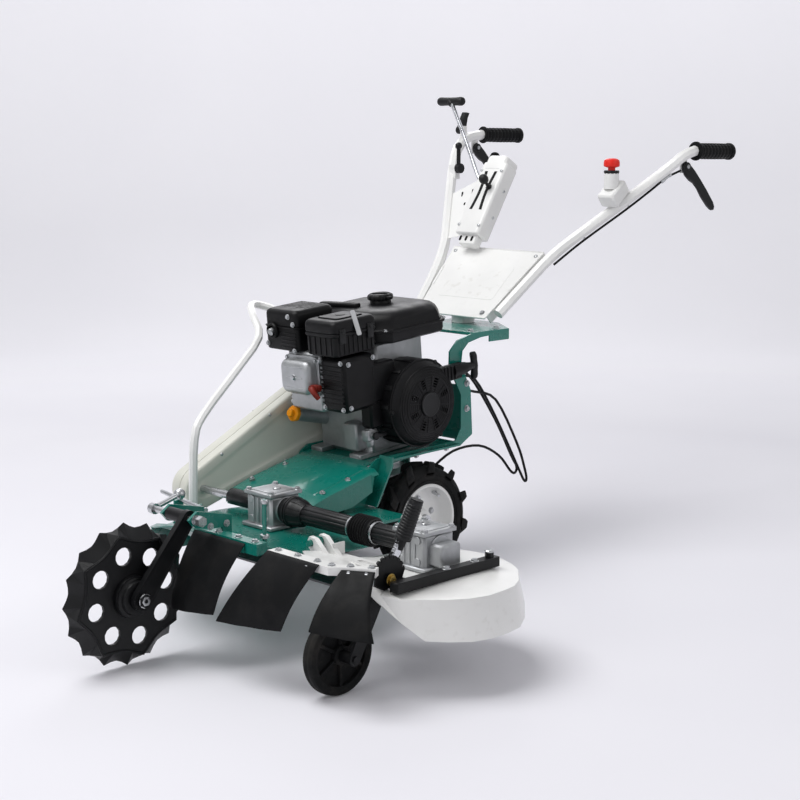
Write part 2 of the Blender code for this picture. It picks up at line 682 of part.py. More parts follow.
def make_wing_deck(mats):
    centre = Vector((WING_X, SPINDLE_Y, 0))
    span = WING_X - HINGE_X
    lip = [(-180, span - 0.026, 0.168), (-150, span - 0.010, 0.176), (-125, 0.215, 0.212), (-100, 0.222, 0.216),
           (-80, 0.222, 0.214), (-64, 0.204, 0.160), (-48, 0.196, 0.102), (-18, 0.203, 0.098), (8, 0.194, 0.098),
           (38, 0.176, 0.110), (75, 0.168, 0.125), (120, span + 0.010, 0.140), (150, span - 0.010, 0.160)]
    shapes = [deck_shell(centre, lip, span - 0.055)]
    for y, base in ((-0.500, DECK_TOP - 0.002), (-0.270, DECK_TOP - 0.030)):
        shapes.append(wing_lug(y - 0.0125, base))
        shapes.append(wing_lug(y + 0.0125, base))
    shapes += tilt_stay()
    bar_front = WING_FLAP_Y + FLAP_SHEET / 2 + GAP
    carrier = [(HINGE_X + 0.010, -0.600), (HINGE_X + 0.010, bar_front), (WING_X + 0.015, bar_front),
               (WING_X + 0.0308, -0.6100), (WING_X + 0.0808, -0.5800), (WING_X + 0.0715, -0.5646),
               (WING_X + 0.0216, -0.5946), (WING_X + 0.015, -0.600)]
    shapes.append(slab(carrier, 0.014, flat_frame(0.2155)))
    notch = block((0.0235, 0.130, 0.060), (WING_X + 0.04875, -0.580, 0.170))
    bores = [bore(HINGE_PIN_RADIUS, (HINGE_X, y - 0.03, SHAFT_Z), (HINGE_X, y + 0.03, SHAFT_Z), 12)
             for y in (-0.500, -0.270)]
    return solid("wing_deck", mats["white"], shapes, [*bores, notch], origin=(HINGE_X, SPINDLE_Y, SHAFT_Z))


def make_blade(name, x, radius, mats):
    """A straight blade with raised ends on its spindle."""
    centre = Vector((x, SPINDLE_Y, BLADE_Z))
    bar = block((2 * radius, BLADE_WIDTH, BLADE_THICKNESS), centre)
    shapes = [bar]
    for side in (-1, 1):
        place = centre + Vector((side * (radius - 0.030), side * (BLADE_WIDTH / 2 - 0.002), 0.004))
        shapes.append(block((0.056, 0.018, 0.003), place, 0.0, (side * math.radians(35), 0, 0)))
    shapes.append(rod(0.028, centre - Vector((0, 0, 0.006)), centre + Vector((0, 0, 0.012))))
    shapes.append(rod(SPINDLE_RADIUS, centre, (x, SPINDLE_Y, SHAFT_Z - SHAFT_RADIUS - 0.006)))
    shapes.append(rod(0.012, centre - Vector((0, 0, 0.014)), centre, 6))
    return solid(name, mats["blade"], shapes, origin=centre)


def make_gearbox(name, x, side_box, mats):
    """A right-angle gearbox with a bolted lid; its two bores meet inside."""
    base = GEARBOX_BASE - 0.0032
    half = GEARBOX_HALF
    low = block((2 * half, 2 * half, GEARBOX_TOP - 0.006 - base),
                (x, SPINDLE_Y, (GEARBOX_TOP - 0.006 + base) / 2), 0.005)
    foot = block((2 * half + 0.014, 2 * half + 0.014, 0.008), (x, SPINDLE_Y, base + 0.004), 0.002)
    lid = block((2 * half + 0.006, 2 * half + 0.006, 0.007), (x, SPINDLE_Y, GEARBOX_TOP - 0.0035), 0.001)
    shapes = [low, foot, lid]
    for dx in (-1, 1):
        for dy in (-1, 1):
            bolt = Vector((x + dx * (half - 0.004), SPINDLE_Y + dy * (half - 0.004), GEARBOX_TOP - 0.002))
            shapes.append(rod(0.005, bolt, bolt + Vector((0, 0, 0.007)), 6))
    if side_box:
        shapes.append(block((0.034, 0.050, 0.040), (x + half + 0.012, SPINDLE_Y, base + 0.030), 0.004))
    shaft = rod(SHAFT_RADIUS + 0.0005, (x - 0.06, SPINDLE_Y, SHAFT_Z),
                (x + (0.005 if side_box else 0.06), SPINDLE_Y, SHAFT_Z))
    spindle = rod(SPINDLE_RADIUS + 0.0005, (x, SPINDLE_Y, base - 0.01), (x, SPINDLE_Y, SHAFT_Z))
    return solid(name, mats["cast"], shapes, [shaft, spindle], origin=(x, SPINDLE_Y, SHAFT_Z))


def make_gearbox_pulley(mats):
    """The deck's input shaft with the driven pulley at its outer end."""
    place = (BELT_X, SPINDLE_Y, SHAFT_Z)
    shapes = [
        rod(SHAFT_RADIUS, (BELT_X - 0.012, SPINDLE_Y, SHAFT_Z), (MAIN_X - 0.006, SPINDLE_Y, SHAFT_Z)),
        pulley(DECK_PULLEY_RADIUS, place),
    ]
    return solid("gearbox_pulley", mats["steel"], shapes, origin=place)


def pulley(radius, centre):
    half = BELT_WIDTH / 2 + GAP
    rim = radius + 0.006
    profile = [(0.004, half + 0.002), (rim, half + 0.002), (rim, half), (radius, half), (radius, -half),
               (rim, -half), (rim, -half - 0.002), (0.004, -half - 0.002)]
    return turned(profile, centre, (1, 0, 0), 20, closed=True)


def make_drive_shaft(name, start, end, mats):
    shaft = rod(SHAFT_RADIUS, (start, SPINDLE_Y, SHAFT_Z), (end, SPINDLE_Y, SHAFT_Z))
    at_end = end if name == "drive_shaft_inner" else start + 0.012
    yoke = rod(0.011, (at_end - 0.012, SPINDLE_Y, SHAFT_Z), (at_end, SPINDLE_Y, SHAFT_Z), 12)
    return solid(name, mats["steel"], [shaft, yoke], origin=(HINGE_X, SPINDLE_Y, SHAFT_Z))


def make_shaft_guard(name, start, end, bell, mats):
    """A fluted tube over the drive shaft; the inner one starts in a bell and ring against the gearbox."""
    count = 30
    ring = [(0.0185 + 0.0012 * math.cos(10 * 2 * math.pi * i / count), 2 * math.pi * i / count)
            for i in range(count)]
    outline = [(radius * math.cos(angle), radius * math.sin(angle)) for radius, angle in ring]
    frame = Matrix.Translation(((start + end) / 2, SPINDLE_Y, SHAFT_Z)) @ side_frame(0.0)
    shapes = [slab(outline, end - start, frame)]
    if bell:
        profile = [(0.004, 0.062), (0.020, 0.062), (0.025, 0.048), (0.027, 0.030), (0.030, 0.028), (0.030, 0.020),
                   (0.024, 0.018), (0.019, 0.0), (0.004, 0.0)]
        shapes.append(turned(profile, (start, SPINDLE_Y, SHAFT_Z), (1, 0, 0), 20, closed=True))
    hole = rod(GUARD_BORE, (start - 0.01, SPINDLE_Y, SHAFT_Z), (end + 0.01, SPINDLE_Y, SHAFT_Z), 16)
    return solid(name, mats["black"], shapes, [hole], origin=(start, SPINDLE_Y, SHAFT_Z))


def make_shaft_boot(mats):
    """The ribbed boot over the universal joint, with its bore right through."""
    half = 0.027
    outer = [(0.0185, half), (0.024, half), (0.024, half - 0.004)]
    for i in range(BOOT_RIBS):
        high = half - 0.004 - (2 * half - 0.008) * (i + 0.5) / BOOT_RIBS
        low = half - 0.004 - (2 * half - 0.008) * (i + 1) / BOOT_RIBS
        outer += [(BOOT_RADIUS + 0.001, high), (BOOT_RADIUS - 0.004, low)]
    outer[-1] = (0.024, 0.004 - half)
    outer += [(0.024, -half), (0.0185, -half)]
    boot = turned(outer, (HINGE_X, SPINDLE_Y, SHAFT_Z), (1, 0, 0), 20, closed=True)
    return solid("shaft_boot", mats["rubber"], [boot], origin=(HINGE_X, SPINDLE_Y, SHAFT_Z))


def tilt_stay():
    """The slotted stay on the wing, with its post and the upturned tab at its inner end."""
    inner = HINGE_X + 0.027
    outer = WING_X + 0.020
    slot_ends = [inner + (outer - inner) * share for share in (0.406, 0.686)]
    slot = stadium((slot_ends[0], -0.478), 0.005, (slot_ends[1], -0.478), 0.005, 10)
    plate = slab([(inner, -0.492), (outer, -0.492), (outer, -0.464), (inner, -0.464)], 0.003,
                 flat_frame(DECK_TOP + 0.0135), [slot])
    foot = outer - 0.015
    post = rod(0.006, (foot, -0.478, DECK_TOP - 0.001), (foot, -0.478, DECK_TOP + 0.0135), 10)
    tab = block((0.003, 0.028, 0.026), (inner + 0.0015, -0.478, DECK_TOP + 0.024))
    return [plate, post, tab]


def flap(name, top_left, top_right, low_left, low_right, thickness, origin, mats):
    """A hanging rubber flap: a bowed sheet between a top and a bottom edge."""
    rings = []
    for k in range(6):
        t = k / 5
        left = Vector(top_left).lerp(Vector(low_left), t)
        right = Vector(top_right).lerp(Vector(low_right), t)
        row = []
        for i in range(7):
            u = i / 6
            point = left.lerp(right, u)
            point.y -= 0.010 * math.sin(math.pi * t) + 0.006 * t * math.sin(math.pi * u)
            row.append(point)
        rings.append(row)
    return solid(name, mats["rubber"], [loft(rings, thickness, closed=False)], origin=origin)


def make_flaps(mats):
    flap("flap_right", (0.192, FLAP_Y, 0.226), (0.336, FLAP_Y, 0.226), (0.214, -0.706, 0.100),
         (0.302, -0.680, 0.100), FLAP_SHEET, (0.28, FLAP_Y, 0.222), mats)
    flap("flap_centre", (HINGE_X + 0.013, WING_FLAP_Y, 0.224), (WING_X - 0.003, WING_FLAP_Y, 0.224),
         (HINGE_X - 0.039, -0.700, 0.102), (WING_X - 0.055, -0.668, 0.106), FLAP_SHEET,
         (HINGE_X + 0.075, WING_FLAP_Y, 0.222), mats)
    flap("wing_flap", (WING_X + 0.0322, -0.6121, 0.2195), (WING_X + 0.0822, -0.5821, 0.2195),
         (WING_X + 0.0322, -0.684, 0.129), (WING_X + 0.140, -0.640, 0.124), FLAP_SHEET,
         (WING_X + 0.055, -0.597, 0.218), mats)


# Belt drive

def make_drive_belt(mats):
    engine = (CRANK_Y, CRANK_Z)
    deck = (SPINDLE_Y, SHAFT_Z)
    inner = stadium(engine, ENGINE_PULLEY_RADIUS + 0.0010, deck, DECK_PULLEY_RADIUS + 0.0010, 12)
    outer = stadium(engine, ENGINE_PULLEY_RADIUS + BELT_THICKNESS, deck, DECK_PULLEY_RADIUS + BELT_THICKNESS, 12)
    belt = slab(outer, BELT_WIDTH, side_frame(BELT_X), [inner])
    return solid("drive_belt", mats["rubber"], [belt], origin=(BELT_X, CRANK_Y, CRANK_Z))


def make_belt_cover(mats):
    """A closed casing round both pulleys, with round openings for the two shafts."""
    engine = (CRANK_Y, CRANK_Z)
    deck = (SPINDLE_Y, SHAFT_Z)
    outer = stadium(engine, 0.080, deck, 0.043, 12)
    inner = stadium(engine, 0.077, deck, 0.040, 12)
    raised = stadium(engine, 0.062, deck, 0.025, 12)
    wall = slab(outer, COVER_INNER_X - COVER_OUTER_X - 0.004, side_frame((COVER_OUTER_X + COVER_INNER_X) / 2 + 0.002),
                [inner])
    face = slab(outer, 0.003, side_frame(COVER_OUTER_X + 0.0045))
    panel = slab(raised, 0.005, side_frame(COVER_OUTER_X + 0.0025))
    shafts = [circle(engine, 0.020, 16), circle(deck, 0.014, 16, 0.1)]
    lid = slab(stadium(engine, 0.0784, deck, 0.0413, 11), 0.0024, side_frame(COVER_INNER_X - 0.0016), shafts)
    shapes = [wall, face, panel, lid]
    for y, z in ((CRANK_Y + 0.042, CRANK_Z - 0.066), (CRANK_Y + 0.078, CRANK_Z + 0.006)):
        shapes.append(rod(0.006, (COVER_INNER_X - 0.020, y, z), (-0.0953, y, z), 10))
    return solid("belt_cover", mats["cream"], shapes, origin=(COVER_OUTER_X, CRANK_Y, CRANK_Z))


# Frame, covers and transmission

def make_main_frame(mats):
    """Two side rails, the engine bed, a back panel and the head plate with the swivel pin."""
    front = [(-0.205, 0.1745), (-0.135, 0.1745), (-0.140, 0.190), (-0.100, 0.252)]
    under = [(0.088, 0.262), (0.136, 0.262), (0.172, 0.282), (0.166, 0.380), (0.136, 0.438), (0.140, 0.466),
             (0.158, 0.482), (0.196, 0.490), (0.288, HEAD_TOP - 0.0065)]
    over = [(0.288, HEAD_TOP), (0.176, HEAD_TOP), (0.124, 0.490), (0.101, 0.468), (0.100, 0.436), (0.136, 0.372),
            (0.136, 0.300), (0.120, 0.274), (-0.112, 0.268), (-0.130, 0.256), (-0.160, 0.205)]
    outline = front + under + over
    left = slab(outline, RAIL_SHEET, side_frame(RAIL_X))
    right = slab(outline, RAIL_SHEET, side_frame(-0.098))
    width = RAIL_X + 0.098
    middle = (RAIL_X - 0.098) / 2
    bed = leaned(block((width, 0.225, 0.005), (middle, -0.012, ENGINE_BASE - GAP - 0.0025)))
    back = block((width, 0.004, 0.120), (middle, 0.150, 0.330))
    head = slab([(-0.098, 0.170), (RAIL_X, 0.170), (RAIL_X, 0.2875), (0.030, 0.352), (-0.084, 0.352),
                 (-0.098, 0.338)], 0.006, flat_frame(HEAD_TOP - 0.003))
    front_plate = block((width, 0.004, 0.060), (middle, -0.150, 0.206), 0.0, (math.radians(-30), 0, 0))
    fender = slab([(-0.147, 0.178), (-0.143, 0.178), (-0.100, 0.254), (-0.098, 0.274), (-0.102, 0.274),
                   (-0.104, 0.256)], 0.038, side_frame(RAIL_X + 0.017))
    flange = slab([(-0.101, 0.262), (0.116, 0.2665), (0.116, 0.2705), (-0.101, 0.266)], 0.022,
                  side_frame(RAIL_X + 0.010))
    pin = rod(SWIVEL_RADIUS, (SWIVEL.x, SWIVEL.y, HEAD_TOP - 0.003), (SWIVEL.x, SWIVEL.y, HEAD_TOP + 0.017))
    stay = block((0.030, 0.004, 0.074), (0.0, 0.0853, 0.232))
    shapes = [left, right, bed, back, head, front_plate, fender, flange, pin, stay]
    return solid("main_frame", mats["green"], shapes, origin=(0, CRANK_Y, BED_Z))


def make_body_cover(mats):
    """The sloping hood between the engine and the deck."""
    rows = []
    for y, z, drop in ((-0.336, 0.198, 0.018), (-0.324, 0.208, 0.028), (-0.280, 0.222, 0.040), (-0.210, 0.238, 0.050),
                       (-0.156, 0.250, 0.040), (-0.150, 0.2515, 0.010), (-0.137, 0.2525, 0.010)):
        rows.append([(-0.0935, y, z - drop), (-0.092, y, z - 0.006), (-0.084, y, z), (0.030, y, z + 0.003),
                     (0.136, y, z), (0.146, y, z - 0.006), (0.150, y, z - drop)])
    hood = loft(rows, 0.003, closed=False)
    rear = loft([[(-0.090, -0.139, 0.2527), (0.110, -0.139, 0.2532)], [(-0.090, -0.1115, 0.2572), (0.110, -0.1115, 0.2576)]],
                0.0022, closed=False)
    nose = block((0.236, 0.003, 0.0202), (0.028, -0.3345, 0.1869))
    return solid("body_cover", mats["green"], [hood, rear, nose], origin=(0, -0.25, 0.22))


def make_guard_pipe(mats):
    """The tall guard that runs from the deck's front corner up and round the muffler."""
    points = smooth([(0.000, -0.490, DECK_TOP + 0.0030), (0.000, -0.490, 0.250), (0.000, -0.484, 0.345),
                     (-0.012, -0.452, 0.385), (-0.060, -0.335, 0.450), (-0.105, -0.235, 0.507),
                     (-0.158, -0.205, 0.545), (-0.205, -0.172, 0.560), (-0.222, -0.140, 0.560),
                     (-0.200, -0.105, 0.545), (-0.160, -0.040, 0.500), (-0.150, -0.022, 0.470)], 3)
    points.append((-0.150, -0.022, 0.4472))
    pipe = tube(points, 0.0085)
    foot = block((0.030, 0.026, 0.005), (0.000, -0.489, DECK_TOP + 0.0045), 0.001)
    return solid("guard_pipe", mats["white"], [pipe, foot], origin=(0, -0.494, DECK_TOP))


def make_transmission(mats):
    case = block((0.106, 0.130, 0.120), (0, 0.018, 0.157), 0.010)
    boss = rod(0.030, (-0.072, 0, WHEEL_RADIUS), (0.072, 0, WHEEL_RADIUS), 16)
    neck = rod(0.016, (-0.094, 0, WHEEL_RADIUS), (0.094, 0, WHEEL_RADIUS), 16)
    rib = block((0.114, 0.010, 0.116), (0, 0.040, 0.157), 0.002)
    hole = bore(AXLE_RADIUS, (-0.12, 0, WHEEL_RADIUS), (0.12, 0, WHEEL_RADIUS))
    return solid("transmission_case", mats["cast"], [case, boss, neck, rib], [hole], origin=(0, 0, WHEEL_RADIUS))


# Engine, drawn about the crankshaft: x along the shaft, y to the rear and z up before the lean

def make_crankcase(mats):
    body = block((0.160, 0.180, 0.157), (-0.015, -0.005, -0.0265), 0.010)
    upper = block((0.150, 0.140, 0.100), (-0.015, 0.010, 0.0797), 0.006)
    cylinder = block((0.100, 0.110, 0.122), (-0.022, -0.130, 0.0665), 0.004)
    shapes = [body, upper, cylinder]
    for i in range(5):
        shapes.append(block((0.106, 0.098, 0.005), (-0.022, -0.135, 0.018 + 0.023 * i)))
    for x in (-0.075, 0.045):
        shapes.append(block((0.034, 0.215, 0.012), (x, -0.018, ENGINE_BASE + 0.006), 0.002))
    shapes.append(rod(0.015, (-0.076, -0.080, -0.040), (-0.076, -0.172, -0.012), 12))
    shapes.append(block((0.040, 0.030, 0.060), (0.030, -0.105, -0.060), 0.004))
    hole = bore(CRANK_RADIUS, (-0.12, 0, 0), (0.12, 0, 0))
    return engine_solid("engine_crankcase", mats["cast"], shapes, [hole])


def make_cylinder_head_cover(mats):
    """The bright rocker cover with its flange, stud and spark plug cap in front of the cylinder."""
    flange = block((0.104, 0.006, 0.086), (-0.022, -0.1885, 0.080), 0.003)
    dome = block((0.088, 0.026, 0.070), (-0.022, -0.203, 0.080), 0.010)
    stud = rod(0.008, (-0.022, -0.214, 0.080), (-0.022, -0.221, 0.080), 6)
    ridge = block((0.060, 0.006, 0.006), (-0.022, -0.2165, 0.104), 0.001)
    plug = rod(0.007, (0.023, -0.1885, 0.0565), (0.034, -0.224, 0.062), 10)
    elbow = rod(0.006, (0.034, -0.222, 0.064), (0.048, -0.214, 0.040), 10)
    return engine_solid("cylinder_head_cover", mats["cast"], [flange, dome, stud, ridge, plug, elbow])


def make_engine_shroud(mats):
    """The fan housing with its cowl over the cylinder; the fan turns inside."""
    housing = rod(HOUSING_RADIUS, (0.068, 0, 0), (0.128, 0, 0), 24)
    cowl = block((0.0707, 0.092, 0.112), (0.06665, -0.144, 0.067), 0.008)
    inner = block((0.034, 0.070, 0.080), (0.086, -0.080, 0.060), 0.005)
    skirt = block((0.034, 0.040, 0.060), (0.083, COCK_Y + 0.012, COCK_Z + 0.045), 0.005)
    cavity = rod(HOUSING_RADIUS - 0.004, (0.072, 0, 0), (0.15, 0, 0), 24)
    hub = rod(0.018, (0.05, 0, 0), (0.10, 0, 0))
    return engine_solid("engine_shroud", mats["engine"], [housing, cowl, inner, skirt], [cavity, hub])


def make_recoil_cover(mats):
    """The slatted starter cover and the guide the rope grip rests in."""
    face = 0.150
    shell_profile = [(0.024, face - 0.1283), (0.062, face - 0.1283), (0.079, 0.015), (RECOIL_RADIUS + 0.004, 0.0),
                     (0.084, 0.0), (0.075, 0.012), (0.061, 0.0180), (0.024, 0.0180)]
    shell = turned(shell_profile, (0.1283, 0, 0), (1, 0, 0), 24, closed=True)
    plug = rod(0.026, (0.1455, 0, 0), (0.153, 0, 0), 16)
    slots = []
    for i in range(8):
        angle = 2 * math.pi * (i + 0.43) / 8
        slot = block((0.03, 0.010, 0.021), (0, 0, 0))
        slot.matrix_world = Matrix.Translation((0.146, 0, 0)) @ Matrix.Rotation(angle, 4, "X") @ Matrix.Translation(
            (0, 0, 0.048))
        slots.append(slot)
    arm = block((0.014, 0.074, 0.034), (0.1360, 0.0745, 0.0503), 0.003)
    guide = rod(0.012, (0.1356, 0.088, 0.052), (0.1356, 0.126, 0.052), 14)
    hole = rod(0.0045, (0.1356, 0.080, 0.052), (0.1356, 0.14, 0.052), 10)
    return engine_solid("recoil_cover", mats["engine"], [shell, plug, arm, guide], [*slots, hole])


def make_recoil_grip(mats):
    """The starter's handle with the stem that sits in the guide."""
    stem = rod(0.004, (0.1356, 0.082, 0.052), (0.1356, 0.150, 0.052), 10)
    nose = rod(0.010, (0.1356, 0.1265, 0.052), (0.1356, 0.150, 0.052), 12, 0.008)
    bar = block((0.016, 0.016, 0.058), (0.1356, 0.155, 0.052), 0.006)
    return engine_solid("recoil_grip", mats["black"], [stem, nose, bar], origin=engine_point(0.1356, 0.150, 0.052))


def make_crankshaft(mats):
    """The crankshaft with the cooling fan at one end and the belt pulley at the other."""
    shapes = [rod(CRANK_RADIUS, (BELT_X - 0.013, 0, 0), (0.106, 0, 0), 16)]
    shapes.append(pulley(ENGINE_PULLEY_RADIUS, (BELT_X, 0, 0)))
    shapes.append(rod(FAN_RADIUS, (0.0755, 0, 0), (0.0795, 0, 0), 20))
    for i in range(8):
        angle = 2 * math.pi * i / 8
        vane = block((0.020, 0.003, 0.034), (0, 0, 0))
        vane.matrix_world = Matrix.Translation((0.088, 0, 0)) @ Matrix.Rotation(angle, 4, "X") @ Matrix.Translation(
            (0, 0.006, 0.056))
        shapes.append(vane)
    return engine_solid("crankshaft", mats["steel"], shapes)


def make_muffler(mats):
    """The boxy exhaust cover with its port and outlet at the front."""
    body = block((0.102, 0.108, 0.0854), (-0.076, -0.142, 0.1705), 0.010)
    seam = block((0.106, 0.112, 0.004), (-0.076, -0.142, 0.176), 0.001)
    boss = rod(0.016, (-0.098, -0.192, 0.168), (-0.098, -0.203, 0.168), 12)
    port = rod(0.010, (-0.098, -0.180, 0.168), (-0.098, -0.215, 0.168), 12)
    shapes = [body, seam, boss]
    for x, z in ((-0.050, 0.200), (-0.040, 0.145)):
        shapes.append(rod(0.005, (x, -0.190, z), (x, -0.2005, z), 6))
    return engine_solid("muffler", mats["engine"], shapes, [port])


def make_air_cleaner(mats):
    """The air cleaner box: a lid with a raised edge over a ribbed base."""
    lid = block((0.096, 0.118, 0.036), (0.048, -0.142, 0.184), 0.009)
    base = block((0.086, 0.108, 0.0434), (0.048, -0.142, 0.1495), 0.004)
    shapes = [lid, base]
    for i in range(5):
        shapes.append(block((0.090, 0.004, 0.032), (0.048, -0.182 + 0.020 * i, 0.148)))
    shapes.append(block((0.060, 0.070, 0.003), (0.048, -0.142, 0.2025), 0.001))
    return engine_solid("air_cleaner", mats["engine"], shapes)


def make_fuel_tank(mats):
    """The tank with its seam flange, rounded lid, filler neck and the carrying bar."""
    lower = block((0.226, 0.200, 0.030), (-0.012, 0.028, 0.145), 0.008)
    flange = block((0.235, 0.210, 0.006), (-0.012, 0.027, 0.1565), 0.002)
    upper = block((0.222, 0.196, 0.040), (-0.012, 0.028, 0.1765), 0.014)
    neck = rod(0.022, (-0.010, 0.030, 0.190), (-0.010, 0.030, 0.204), 16)
    bar = block((0.100, 0.018, 0.012), (-0.062, -0.040, 0.199), 0.004, (0, 0, math.radians(12)))
    shapes = [lower, flange, upper, neck, bar]
    for i in range(5):
        shapes.append(block((0.008, 0.2033, 0.020), (-0.096 + 0.042 * i, 0.028, 0.1445)))
    hole = rod(0.0175, (-0.010, 0.030, 0.185), (-0.010, 0.030, 0.22), 16)
    return engine_solid("fuel_tank", mats["engine"], shapes, [hole])


def make_fuel_cap(mats):
    """The filler cap: a lobed knob with a plug that turns in the neck."""
    place = engine_point(-0.010, 0.030, 0.204)
    profile = [(0.0, 0.218), (0.020, 0.218), (CAP_RADIUS, 0.213), (CAP_RADIUS, 0.2043), (0.0170, 0.2043),
               (0.0170, 0.190), (0.0, 0.190)]
    cap = turned(profile, (-0.010, 0.030, 0), (0, 0, 1), 20)
    shapes = [cap]
    for angle in (0.0, math.pi):
        spot = Vector((-0.010 + CAP_RADIUS * math.cos(angle), 0.030 + CAP_RADIUS * math.sin(angle), 0.2087))
        shapes.append(block((0.010, 0.016, 0.0076), spot, 0.002))
    return engine_solid("fuel_cap", mats["engine"], shapes, origin=place)


def make_fuel_cock(mats):
    """The fuel cock under the front of the shroud, with the seat for its lever."""
    body = block((0.020, 0.032, 0.0282), (0.082, COCK_Y, COCK_Z + 0.0006), 0.003)
    spout = rod(0.004, (0.082, COCK_Y, COCK_Z - 0.035), (0.082, COCK_Y, COCK_Z), 12)
    seat = rod(0.008, (0.082, COCK_Y, COCK_Z), (0.098, COCK_Y, COCK_Z), 12)
    return engine_solid("fuel_cock", mats["cast"], [body, spout, seat])


def make_fuel_cock_lever(mats):
    place = engine_point(0.0983, COCK_Y, COCK_Z)
    hub = rod(0.008, (0.0983, COCK_Y, COCK_Z), (0.104, COCK_Y, COCK_Z), 12)
    arm = block((0.0055, 0.034, 0.009), (0.1011, COCK_Y + 0.015, COCK_Z), 0.001)
    return engine_solid("fuel_cock_lever", mats["black"], [hub, arm], origin=place)


def make_oil_filler_cap(mats):
    """The amber oil filler cap on its boss."""
    start = Vector((-0.076, -0.1723, -0.0119))
    out = Vector((0, -0.092, 0.028)).normalized()
    shapes = [rod(0.017, start, start + out * 0.010, 8), rod(0.008, start, start + out * 0.020, 8)]
    return engine_solid("oil_filler_cap", mats["amber"], shapes)


# Handle

def bearing_along(first, second):
    return (Vector(second) - Vector(first)).normalized()


def splay_matrix(side):
    """The tilt of one edge of the handle's head in the plane of its panel, about the upper corner."""
    plane = Matrix.Translation(PANEL_MIDDLE) @ Matrix.Rotation(PANEL_LEAN, 4, "X")
    corner = Matrix.Translation((side * 0.136, 0.093, 0))
    return plane @ corner @ Matrix.Rotation(-side * PANEL_SPLAY, 4, "Z") @ corner.inverted() @ plane.inverted()


def make_handle_base(mats):
    """The broad white head of the handle, narrower below and folded at its edges, on the swivel boss."""
    plane = Matrix.Translation(PANEL_MIDDLE) @ Matrix.Rotation(PANEL_LEAN, 4, "X")
    low = 0.138 - 0.2125 * math.tan(PANEL_SPLAY)
    shapes = [slab([(-0.138, 0.093), (-low, -0.1195), (low, -0.1195), (0.138, 0.093)], PANEL_SHEET, plane)]
    for side in (-1, 1):
        fold = block((0.003, 0.206, 0.024), (0, 0, 0))
        fold.matrix_world = splay_matrix(side) @ plane @ Matrix.Translation((side * 0.136, -0.010, -0.011))
        pad = block((0.006, 0.060, 0.020), (0, 0, 0))
        pad.matrix_world = splay_matrix(side) @ plane @ Matrix.Translation((side * 0.1366, -0.0038, -0.0074))
        shapes += [fold, pad]
    boss = rod(0.026, (SWIVEL.x, SWIVEL.y, HEAD_TOP + 0.0006), (SWIVEL.x, SWIVEL.y, HEAD_TOP + 0.0215), 16)
    web = slab([(0.280, HEAD_TOP + 0.003), (0.330, HEAD_TOP + 0.003), (0.400, 0.560), (0.400, 0.6362), (0.300, 0.5493)],
               0.014, side_frame(SWIVEL.x))
    top = block((0.274, 0.003, 0.030), (PANEL_MIDDLE.x, 0.4245, 0.646))
    shapes += [boss, web, top]
    hole = bore(SWIVEL_RADIUS, (SWIVEL.x, SWIVEL.y, 0.48), (SWIVEL.x, SWIVEL.y, HEAD_TOP + 0.0175), 12)
    return solid("handle_base", mats["white"], shapes, [hole], origin=SWIVEL)


def make_handle_arms(mats):
    left_end = LEFT_GRIP + Vector((0.012, 0.100, -0.002))
    left_low = [splay_matrix(1) @ Vector(point) for point in ((0.1150, 0.290, 0.530), (0.1150, 0.360, 0.590))]
    left = smooth([*left_low, (0.1170, 0.430, 0.650), (0.150, 0.490, 0.700),
                   (0.205, 0.570, 0.768), (0.262, 0.655, 0.842), (0.281, 0.690, 0.872), LEFT_GRIP], 3) + [left_end]
    left_plate = block((0.004, 0.022, 0.048), (0.2751, 0.700, 0.858))
    solid("handle_arm_left", mats["white"], [tube(left, PIPE_RADIUS), left_plate], origin=(0.115, 0.29, 0.53))
    right_end = RIGHT_GRIP + Vector((0.020, 0.100, -0.001))
    right_low = [splay_matrix(-1) @ Vector(point) for point in ((-0.191, 0.290, 0.530), (-0.191, 0.350, 0.590))]
    right = smooth([*right_low, (-0.195, 0.410, 0.660), (-0.245, 0.475, 0.740),
                    (-0.325, 0.580, 0.862), (-0.355, 0.650, 0.907), RIGHT_GRIP], 3) + [right_end]
    lever_plate = block((0.004, 0.022, 0.044), (-0.3603, 0.690, 0.893))
    safety_plate = block((0.004, 0.020, 0.040), (-0.3567, 0.645, 0.920))
    throttle_seat = block((0.0227, 0.016, 0.034), (-0.28865, 0.540, 0.829))
    plates = [lever_plate, safety_plate, throttle_seat]
    solid("handle_arm_right", mats["white"], [tube(right, PIPE_RADIUS), *plates], origin=(-0.191, 0.29, 0.53))


def make_grip(name, start, side_step, mats):
    """A rubber grip with a flange, pushed over the end of the arm."""
    along = Vector((side_step, 0.100, -0.0015)).normalized()
    first = Vector(start) + along * 0.002
    body = rod(GRIP_RADIUS, first, first + along * GRIP_LENGTH, 14)
    flange = rod(GRIP_RADIUS + 0.004, first, first + along * 0.006, 14)
    end = rod(GRIP_RADIUS + 0.002, first + along * (GRIP_LENGTH - 0.010), first + along * GRIP_LENGTH, 14)
    hole = rod(PIPE_RADIUS + 0.0011, first - along * 0.01, first + along * 0.104, 14)
    return solid(name, mats["rubber"], [body, flange, end], [hole], origin=start)


def make_hand_lever(name, pivot, end, across, mats):
    """A curved squeeze lever below a grip, with its pivot bracket eye."""
    pivot, end = Vector(pivot), Vector(end)
    middle = (pivot + end) / 2 + Vector((0, 0.012, 0.006))
    path = smooth([pivot, pivot.lerp(middle, 0.5) + Vector((0, 0.004, 0.002)), middle, end], 3)
    eye = rod(0.010, pivot - across * 0.006, pivot + across * 0.006, 12)
    return solid(name, mats["black"], [tube(path, 0.0055), eye, ball(0.008, end)], origin=pivot)


